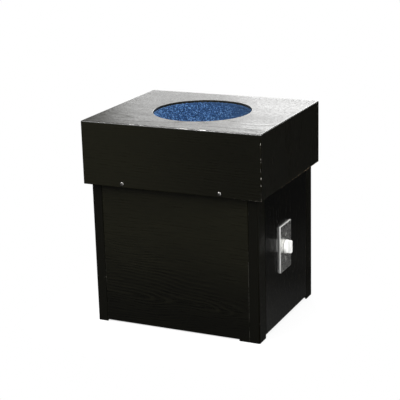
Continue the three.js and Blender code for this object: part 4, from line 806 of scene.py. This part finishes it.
def skirt_board(side, finishes):
    """One skirt board, drawn as the front one and turned to its side of the lid."""
    along, reach = lid_half_width, lid_half_depth
    if side in ("right", "left"):
        along, reach = reach, along
    corner_steps, foot_steps, top_steps = 5, 4, 5
    foot, top, radius = skirt_foot_z, lid_top_z, LID_CORNER_RADIUS
    eased_foot = arc((0, foot + LID_FOOT_EASING), LID_FOOT_EASING, -QUARTER, 0, foot_steps)
    eased_top = arc((0, top - LID_TOP_EASING), LID_TOP_EASING, 0, QUARTER, top_steps)
    section = [(SKIRT_THICKNESS, foot)]
    section += [(LID_FOOT_EASING - out, z) for out, z in eased_foot]
    section += [(LID_TOP_EASING - out, z) for out, z in eased_top]
    section += [(SKIRT_THICKNESS, top)]
    turns = [QUARTER / 2 * i / corner_steps for i in range(corner_steps + 1)]
    bm = bmesh.new()
    columns = []
    for sign, turn in [(-1, turn) for turn in reversed(turns)] + [(1, turn) for turn in turns]:
        column = []
        for inset, z in section:
            room = max(radius - inset, 0.0)
            x = sign * (along - max(radius, inset) + room * math.sin(turn))
            y = -(reach - max(radius, inset) + room * math.cos(turn))
            column.append(bm.verts.new((x, y, z)))
        columns.append(column)
    face, arris, lid_top, lip = range(4)
    strips = [face] + [arris] * foot_steps + [face] + [lip] * top_steps + [lid_top, face]
    corner_strips = list(strips)
    corner_strips[1 + foot_steps] = arris
    for k, (a, b) in enumerate(zip(columns, columns[1:])):
        for i, finish in enumerate(strips if k == corner_steps else corner_strips):
            j = (i + 1) % len(section)
            bm.faces.new((a[i], b[i], b[j], a[j])).material_index = finish
    bm.faces.new(columns[0])
    bm.faces.new(columns[-1][::-1])
    angle = {"front": 0, "right": QUARTER, "back": 2 * QUARTER, "left": -QUARTER}[side]
    place = Matrix.Translation((axis_x, 0, 0)) @ Matrix.Rotation(angle, 4, "Z")
    bmesh.ops.transform(bm, matrix=place, verts=bm.verts)
    solid_piece(bm, f"skirt_{side}_board", finishes + [lid_top_oak[0], lid_lip_oak], "black_oak",
                "lid_skirt_" + side)


def lid_board():
    """The lid's top board with its round mouth."""
    half_x = lid_half_width - SKIRT_THICKNESS
    half_y = lid_half_depth - SKIRT_THICKNESS
    wall = wall_carpet_radius + MOUTH_CLEARANCE
    lip, foot = wall + MOUTH_EASING, lid_low.z
    eased = arc((lip, lid_top_z - MOUTH_EASING), MOUTH_EASING, 0, QUARTER)[1:]
    hole = [(wall, foot), (wall, lid_top_z - MOUTH_EASING)]
    hole += [(2 * lip - out, z) for out, z in eased]
    bm = bmesh.new()
    rings = [turned_ring(bm, radius, z, MOUTH_SIDES, axis_x, 0.5) for radius, z in hole]
    for n, (low, high) in enumerate(zip(rings, rings[1:])):
        bridge(bm, low, high, int(n > 0))
    outline = [(half_x, half_y), (-half_x, half_y), (-half_x, -half_y), (half_x, -half_y)]
    edges = []
    quarter = MOUTH_SIDES // 4
    for ring, z in ((rings[-1], lid_top_z), (rings[0], foot)):
        corners = [bm.verts.new((axis_x + x, y, z)) for x, y in outline]
        edges.append(corners)
        for k, corner in enumerate(corners):
            span = [ring[(k * quarter + i) % MOUTH_SIDES] for i in range(quarter + 1)]
            bm.faces.new([corner] + span[-2::-1])
            bm.faces.new([corner, span[-2], span[-1], corners[(k + 1) % 4]])
    high, low = edges
    bridge(bm, low, high)
    solid_piece(bm, "lid_board", [lid_top_oak[0], lid_lip_oak], "black_oak", "lid_top")


skirt_board("front", skirt_front_oak)
skirt_board("back", skirt_back_oak)
skirt_board("left", skirt_side_oak)
skirt_board("right", skirt_side_oak)
lid_board()

dress_board("front_panel", front_panel_oak)
dress_board("back_panel", back_panel_oak)
dress_board("left_panel", side_panel_oak)
dress_board("right_panel", side_panel_oak)
for end in ("front", "back"):
    for hand in ("left", "right"):
        dress_board(f"post_{end}_{hand}", post_oak)


# What repeats: the carpets' tufts and the lid's screws

def reshape_by(tree, base, values):
    """Turns a base mesh into the one that a geometry tree makes of it."""
    modifier = base.modifiers.new(tree.name, "NODES")
    modifier.node_group = tree
    sockets = {item.name: item.identifier for item in tree.interface.items_tree
               if item.item_type == "SOCKET" and item.in_out == "INPUT"}
    for name, value in values.items():
        modifier[sockets[name]] = value
    bpy.context.view_layer.update()
    graph = bpy.context.evaluated_depsgraph_get()
    mesh = bpy.data.meshes.new_from_object(base.evaluated_get(graph))
    old = base.data
    base.modifiers.remove(modifier)
    base.data = mesh
    bpy.data.meshes.remove(old)


def carpet_tree():
    """Tufts on the faces marked pile, each turned, leaned and shaded a little its own way."""
    tree, w, given, out = geometry_group("carpet pile", {
        "Tuft spacing": TUFT_SPACING, "Tuft height": TUFT_HEIGHT, "Tuft width": TUFT_WIDTH,
        "Seed": 1, "Pile": "Material",
    })
    seed, width = given["Seed"], given["Tuft width"]
    scatter = w.add("GeometryNodeDistributePointsOnFaces", {
        "Mesh": given["Geometry"], "Selection": w.attribute("pile", "BOOLEAN"),
        "Distance Min": given["Tuft spacing"], "Density Max": MOST_TUFTS_A_SQUARE_METRE,
        "Seed": seed,
    }, distribute_method="POISSON")
    tuft = w.add("GeometryNodeMeshUVSphere", {"Segments": 5, "Rings": 3, "Radius": 0.5})
    smooth = w.add("GeometryNodeSetShadeSmooth", {"Geometry": tuft.outputs["Mesh"]})
    size = w.joined(width, width, given["Tuft height"])
    leaned = w.planted(
        scatter.outputs["Points"], smooth.outputs[0], scatter.outputs["Rotation"],
        (-TUFT_LEAN, -TUFT_LEAN, 0.0), (TUFT_LEAN, TUFT_LEAN, NEARLY_A_TURN), seed,
        scale=w.vector("SCALE", size, w.random(*TUFT_SIZE_SHARES, seed)))
    shaded = w.add("GeometryNodeStoreNamedAttribute", {
        "Geometry": leaned, "Name": "tuft", "Value": w.random(0.0, 1.0, seed),
    }, data_type="FLOAT", domain="INSTANCE")
    both = w.add("GeometryNodeJoinGeometry")
    w.put(both.inputs[0], given["Geometry"], w.made_real(shaded.outputs[0], given["Pile"]))
    w.put(out["Geometry"], both.outputs[0])
    return tree


carpet_pile = carpet_tree()


def tufted(name, profile, carries, seed, body, node):
    """A turned carpet. carries says of a face's centre and normal whether it has pile."""
    mesh = mesh_from(lathe(profile, CARPET_SIDES, axis_x), name)
    marked = mesh.attributes.new("pile", "BOOLEAN", "FACE")
    for face in mesh.polygons:
        marked.data[face.index].value = carries(face.center, face.normal)
    piece = as_object(name, mesh, [backing])
    reshape_by(carpet_pile, piece, {"Seed": seed, "Pile": pile})
    finish_piece(piece, body, "blue_carpet", node)


def wall_carpet():
    outer, inner = wall_carpet_radius, wall_carpet_radius - CARPET_BASE
    foot, head = wall_carpet_low.z, wall_carpet_high.z - TUFT_HEIGHT * TUFT_OUTSIDE_SHARE
    pile_foot = turntable_carpet_high.z - PILE_BELOW_TURNTABLE
    ease = CARPET_EASING
    profile = [(outer, foot), (outer, head)]
    profile += arc((inner + ease, head - ease), ease, QUARTER, 2 * QUARTER, 3)
    profile += [(inner, pile_foot), (inner, foot)]

    def carries(centre, normal):
        outward = Vector((centre.x - axis_x, centre.y, 0)).normalized()
        faces_in, faces_up = normal.dot(outward) < -0.3, normal.z > 0.5
        return centre.z > pile_foot and (faces_in or faces_up)

    tufted("wall_carpet_pile", profile, carries, seed=4, body="cabinet", node="wall_carpet")


def turntable_carpet():
    radius = turntable_carpet_high.x - axis_x - TUFT_WIDTH * TUFT_OUTSIDE_SHARE
    foot = turntable_carpet_low.z
    head = foot + CARPET_BASE
    ease = CARPET_EASING
    profile = [(0, foot), (radius, foot)]
    profile += arc((radius - ease, head - ease), ease, 0, QUARTER, 3)
    profile += [(radius / 2, head), (0, head)]

    def carries(centre, normal):
        return normal.z > 0.3

    tufted("turntable_carpet_pile", profile, carries, seed=9, body="turntable_drive",
           node="turntable_carpet")


wall_carpet()
turntable_carpet()


def screw_tree():
    """Pan-head screws with a cross recess, one at each point, facing as the point says.

    The recess's second bar is cut a step less deep than the first, which keeps the head closed.
    """
    tree, w, given, out = geometry_group("pan head screws", {
        "Head radius": 5.0 * MM, "Head height": 3.2 * MM, "Shank radius": 2.4 * MM,
        "Shank length": 24.0 * MM, "Recess span": 5.6 * MM, "Recess width": 2.1 * MM,
        "Recess depth": 2.5 * MM, "Bar step": 0.12 * MM, "Block size": 50.0 * MM,
        "Steel": "Material",
    })
    radius, height, block = given["Head radius"], given["Head height"], given["Block size"]
    sphere = w.add("GeometryNodeMeshUVSphere", {"Segments": 32, "Rings": 24, "Radius": 1.0})
    ball = w.moved(sphere.outputs["Mesh"], "Scale", w.joined(radius, radius, height))
    room = w.add("GeometryNodeMeshCube", {"Size": w.joined(block, block, block)})
    above = w.moved(room.outputs["Mesh"], "Translation", w.joined(z=w.times(block, 0.5)))
    dome = w.add("GeometryNodeMeshBoolean", operation="INTERSECT")
    w.put(dome.inputs["Mesh 2"], ball, above)
    cut = w.add("GeometryNodeMeshBoolean", {"Mesh 1": dome.outputs[0]}, operation="DIFFERENCE")
    for first, second, step in (("Recess span", "Recess width", 0.0),
                                ("Recess width", "Recess span", given["Bar step"])):
        size = w.joined(given[first], given[second], w.times(given["Recess depth"], 2.0))
        bar = w.add("GeometryNodeMeshCube", {"Size": size}).outputs["Mesh"]
        lift = w.joined(z=w.plus(height, step))
        w.put(cut.inputs["Mesh 2"], w.moved(bar, "Translation", lift))
    shank = w.add("GeometryNodeMeshCylinder", {
        "Vertices": 20, "Radius": given["Shank radius"], "Depth": given["Shank length"],
    }).outputs["Mesh"]
    drop = w.joined(z=w.times(given["Shank length"], -0.5))
    whole = w.add("GeometryNodeJoinGeometry")
    w.put(whole.inputs[0], cut.outputs[0], w.moved(shank, "Translation", drop))
    facing = w.attribute("facing", "FLOAT_VECTOR")
    aim = w.add("FunctionNodeAlignRotationToVector", {"Vector": facing}, axis="Z")
    driven = w.planted(given["Geometry"], whole.outputs[0], aim.outputs[0],
                       (0.0, 0.0, 0.0), (0.0, 0.0, NEARLY_A_TURN), seed=3)
    w.put(out["Geometry"], w.made_real(driven, given["Steel"]))
    return tree


def lid_screws():
    """The screws low in the front and back skirts, driven square into them."""
    nodes, places, normals = [], [], []
    for end, outward in (("front", -1), ("back", 1)):
        for hand in ("left", "right"):
            node = f"lid_screw_{end}_{hand}"
            low, high = extent(node)
            nodes.append(node)
            places.append(((low.x + high.x) / 2, outward * lid_half_depth, (low.z + high.z) / 2))
            normals.append((0, outward, 0))
    mesh = bpy.data.meshes.new("lid_screws")
    mesh.from_pydata(places, [], [])
    facing = mesh.attributes.new("facing", "FLOAT_VECTOR", "POINT")
    for i, normal in enumerate(normals):
        facing.data[i].vector = normal
    piece = as_object("lid_screws", mesh, [dark_screw])
    reshape_by(screw_tree(), piece, {"Steel": dark_screw})
    piece.data.set_sharp_from_angle(angle=SMOOTH_BELOW)
    finish_piece(piece, "cabinet", "dark_screw", *nodes)


lid_screws()


# Timer

def rounded_outline(half_width, half_height, radius):
    """Points round an upright rectangle with rounded corners."""
    points = []
    for k, (right, up) in enumerate(((1, 1), (-1, 1), (-1, -1), (1, -1))):
        centre = (right * (half_width - radius), up * (half_height - radius))
        points += arc(centre, radius, k * QUARTER, (k + 1) * QUARTER, 6)
    return points


def loft(bm, outlines):
    """Skins a stack of outlines, each a (points, height), with as many points in each."""
    rings = [[bm.verts.new((x, y, z)) for x, y in points] for points, z in outlines]
    for low, high in zip(rings, rings[1:]):
        bridge(bm, low, high)
    bm.faces.new(rings[0][::-1])
    bm.faces.new(rings[-1])


def out_of_side(bm):
    """Turns a piece drawn face up (x towards the back, y up, z out) onto the right side panel."""
    _, y, z = (plate_low + plate_high) / 2
    turn = Matrix(((0, 0, 1, plate_low.x), (1, 0, 0, y), (0, 1, 0, z), (0, 0, 0, 1)))
    bmesh.ops.transform(bm, matrix=turn, verts=bm.verts)


def knob():
    """Timer knob: a round skirt with a finger bar across it, crowned towards its outer face."""
    foot, head = knob_low.x - plate_low.x, knob_high.x - plate_low.x
    skirt_head = foot + KNOB_SKIRT_HEIGHT
    ease = KNOB_SKIRT_EASING
    profile = [(0, foot), (KNOB_RADIUS, foot)]
    profile += arc((KNOB_RADIUS - KNOB_SKIRT_STEP - ease, skirt_head - ease), ease, 0, QUARTER)
    profile += [(0, skirt_head)]
    bm = lathe(profile, KNOB_SIDES)
    bar_foot = rounded_outline(BAR_HALF_WIDTH, BAR_HALF_LENGTH, BAR_CORNER)
    outlines = [(bar_foot, skirt_head - BAR_SUNK)]
    for i in range(BAR_CROWN_STEPS + 1):
        turn = QUARTER * i / BAR_CROWN_STEPS
        taper = BAR_CROWN_IN * (1 - math.cos(turn))
        corner = max(BAR_CORNER - taper, BAR_LEAST_CORNER)
        outlines.append((
            rounded_outline(BAR_HALF_WIDTH - taper, BAR_HALF_LENGTH - taper, corner),
            head - BAR_CROWN_DOWN + BAR_CROWN_DOWN * math.sin(turn),
        ))
    loft(bm, outlines)
    out_of_side(bm)
    solid_piece(bm, "timer_knob_bar", [white_plastic], "white_plastic", "timer_knob",
                body="timer_dial")


def printed_number(minutes, turn, height):
    """The mesh of an upright number, placed clockwise of the scale's top by a turn."""
    lettering = bpy.data.curves.new("minutes", "FONT")
    lettering.body = str(minutes)
    lettering.size = NUMBER_HEIGHT
    lettering.align_x = "CENTER"
    lettering.align_y = "CENTER"
    lettering.extrude = INK_THICKNESS
    lettering.resolution_u = 3
    written = bpy.data.objects.new("minutes", lettering)
    mesh = bpy.data.meshes.new_from_object(written)
    bpy.data.objects.remove(written)
    place = (NUMBER_RADIUS * math.sin(turn), NUMBER_RADIUS * math.cos(turn), height)
    mesh.transform(Matrix.Translation(place))
    return mesh


def dial_scale():
    """Minutes printed round the knob: a tick every half a minute and a number every three."""
    bm = bmesh.new()
    plate_face = plate_high.x - plate_low.x
    last_turn = LAST_MINUTE * MINUTE_TURN
    for i in range(round(last_turn / TICK_TURN) + 1):
        half, outer = SHORT_TICK if i % 2 else LONG_TICK
        turned = Matrix.Rotation(-i * TICK_TURN, 2)
        corners = ((-half, TICK_FOOT), (half, TICK_FOOT), (half, outer), (-half, outer))
        points = [turned @ Vector(corner) for corner in corners]
        loft(bm, [(points, plate_face - INK_THICKNESS), (points, plate_face + INK_THICKNESS)])
    for minutes in range(0, LAST_MINUTE + 1, MINUTES_APART):
        bm.from_mesh(printed_number(minutes, minutes * MINUTE_TURN, plate_face))
    out_of_side(bm)
    piece = as_object("dial_scale", mesh_from(bm, "dial_scale"), [dial_ink])
    finish_piece(piece, "cabinet", "black_plastic")


knob()
dial_scale()
eased_copy("wall_plate", "timer_plate", [plate_steel, plate_edge], "plate_steel", PLATE_EASING)
for which in ("upper", "lower"):
    eased_copy("plate_screw_" + which, "timer_plate_screw_" + which, [plate_steel], "plate_steel",
               PLATE_SCREW_EASING)
eased_copy("cord_grommet", "cord_outlet_grommet", [black_rubber], "black_rubber", GROMMET_EASING)

# Finishes of the nodes that keep their own form: each takes the first row that its name starts as
KEPT_FORMS = (
    (machined_steel, ("hub_set_screw", "turntable_screw", "motor_bolt", "strap_screw", "motor_shaft",
                      "timer_shaft", "top_bearing", "bottom_bearing")),
    (black_rubber, ("motor_mount", "motor_lead", "capacitor_lead")),
    (galvanised, ("switch_box", "capacitor_strap")),
    (cast_aluminium, ("hub", "motor_top_bell", "motor_bottom_bell", "capacitor")),
    (motor_paint, ("motor_shell",)),
    (core_finish, ("stator", "rotor")),
    (black_plastic, ("cooling_fan", "timer_body")),
    (birch_ply, ("motor_deck", "deck_cleat", "tub_wall", "turntable")),
)
for node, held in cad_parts.items():
    finish = next((finish for finish, starts in KEPT_FORMS if node.startswith(starts)), None)
    if finish and not held.material_slots:
        held.data.materials.append(finish)
    elif finish:
        for place in held.material_slots:
            place.material = finish


# Room

FLOOR_HALF_WIDTH = 14
FLOOR_DROP = 0.2 * MM
CABINET_HALF_WIDTH, CABINET_HALF_DEPTH = 0.21, 0.17


def floor_finish():
    """Floor that is pale to the camera, shows the shadow nearby and runs out to plain white.

    What the lacquer mirrors of it is dark, but bright to the right, as far back as the cabinet.
    """
    material, w, surface = new_material("studio_floor", grey(0.9))
    across, back, _ = w.split(w.position())
    white = w.add("ShaderNodeEmission", {"Color": grey(1), "Strength": 1.0})
    seen = w.add("ShaderNodeLightPath").outputs["Is Camera Ray"]
    rearward = w.times(across, 0.45, plus=w.times(back, 0.9))
    bounce = w.mix(w.between(rearward, 0.0, 0.45), grey(0.10), grey(0.025))
    bounce = w.mix(w.between(rearward, 0.45, 1.0), bounce, grey(0.012))
    to_right = w.times(w.between(across, 0.45, 0.65), w.between(back, 0.35, 0.15))
    bounce = w.mix(to_right, bounce, grey(0.95))
    w.fill(surface.inputs, {
        "Base Color": w.mix(seen, bounce, grey(0.95)), "Roughness": 0.9, "Specular IOR Level": 0.0,
    })
    beside = w.math("MAXIMUM", w.minus(w.size_of(across), CABINET_HALF_WIDTH), 0.0)
    before = w.math("MAXIMUM", w.minus(w.size_of(back), CABINET_HALF_DEPTH), 0.0)
    away = w.times(w.between(w.distance(beside, before), 0.0, 0.2, 0.82, 1.0), seen)
    output = surface.outputs[0].links[0].to_node
    blend = w.add("ShaderNodeMixShader", {0: away, 1: surface.outputs[0], 2: white.outputs[0]})
    w.put(output.inputs["Surface"], blend.outputs[0])
    return material


def room():
    """A wide floor under the object, and a sky that shows white and lights only a little."""
    bm = bmesh.new()
    bmesh.ops.create_grid(bm, x_segments=1, y_segments=1, size=FLOOR_HALF_WIDTH)
    bmesh.ops.translate(bm, verts=bm.verts, vec=(0, 0, -FLOOR_DROP))
    mesh = bpy.data.meshes.new("studio_floor")
    bm.to_mesh(mesh)
    bm.free()
    as_object("studio_floor", mesh, [floor_finish()])

    world = bpy.data.worlds.new("studio")
    world.use_nodes = True
    bpy.context.scene.world = world
    w = Wiring(world.node_tree)
    seen = w.add("ShaderNodeLightPath").outputs["Is Camera Ray"]
    strength = w.times(seen, 0.75, plus=0.25)
    sky = w.add("ShaderNodeBackground", {"Color": grey(1), "Strength": strength})
    w.add("ShaderNodeOutputWorld", {"Surface": sky.outputs[0]})


def softbox(name, place, target, width, height, radiance):
    """A rectangular lamp aimed at a point. radiance is what a mirror facing it would show."""
    light = bpy.data.lights.new(name, "AREA")
    light.shape = "RECTANGLE"
    light.size = width
    light.size_y = height
    light.energy = radiance * math.pi * width * height
    lamp = bpy.data.objects.new(name, light)
    lamp.location = place
    lamp.visible_camera = False
    aim = Vector(target) - Vector(place)
    lamp.rotation_euler = aim.to_track_quat("-Z", "Y").to_euler()
    bpy.context.scene.collection.objects.link(lamp)


def camera():
    """The photo's view, fitted to the object's edges in it."""
    yaw, pitch, roll = -0.44019, 0.287, -0.0272
    place = (axis_x + 1.217341, -2.611741, 1.127122)
    focal_pixels, photo_pixels, sensor_width = 1238.692, 400, 36
    looking = Vector((math.sin(yaw) * math.cos(pitch), math.cos(yaw) * math.cos(pitch),
                      -math.sin(pitch)))
    right = Vector((math.cos(yaw), -math.sin(yaw), 0))
    up = right.cross(looking)
    turned_right = right * math.cos(roll) + up * math.sin(roll)
    turned_up = up * math.cos(roll) - right * math.sin(roll)
    basis = Matrix((turned_right, turned_up, -looking)).transposed().to_4x4()
    data = bpy.data.cameras.new("photo_view")
    data.sensor_fit = "HORIZONTAL"
    data.sensor_width = sensor_width
    data.lens = sensor_width * focal_pixels / photo_pixels
    data.clip_end = 60
    viewer = bpy.data.objects.new("photo_view", data)
    viewer.matrix_world = Matrix.Translation(place) @ basis
    bpy.context.scene.collection.objects.link(viewer)
    bpy.context.scene.camera = viewer


room()
middle = (axis_x, 0, 0.3)
softbox("overhead", (-0.2, -0.4, 2.7), middle, 2.4, 2.4, 2.2)
softbox("front_left_fill", (-1.7, -2.2, 2.6), middle, 2.4, 2.4, 6.0)
softbox("front_right_fill", (2.1, -1.4, 2.5), middle, 2.4, 2.1, 6.9)
softbox("edge_glint", (-0.8, -0.5, 2.6), (0.1, -0.187, 0.5), 0.55, 0.5, 34.0)
softbox("plate_rim", (1.2, 3.0, 1.66), (0.2, 0, 0.2), 0.7, 0.6, 1.8)
softbox("sheen_left", (-1.54, 3.0, 1.22), (-1.54, 0, 1.22), 0.72, 1.05, 3.35)
softbox("sheen_right", (-0.39, 3.0, 1.22), (-0.39, 0, 1.22), 1.58, 1.05, 6.0)
camera()

bpy.context.scene.view_settings.view_transform = "Standard"
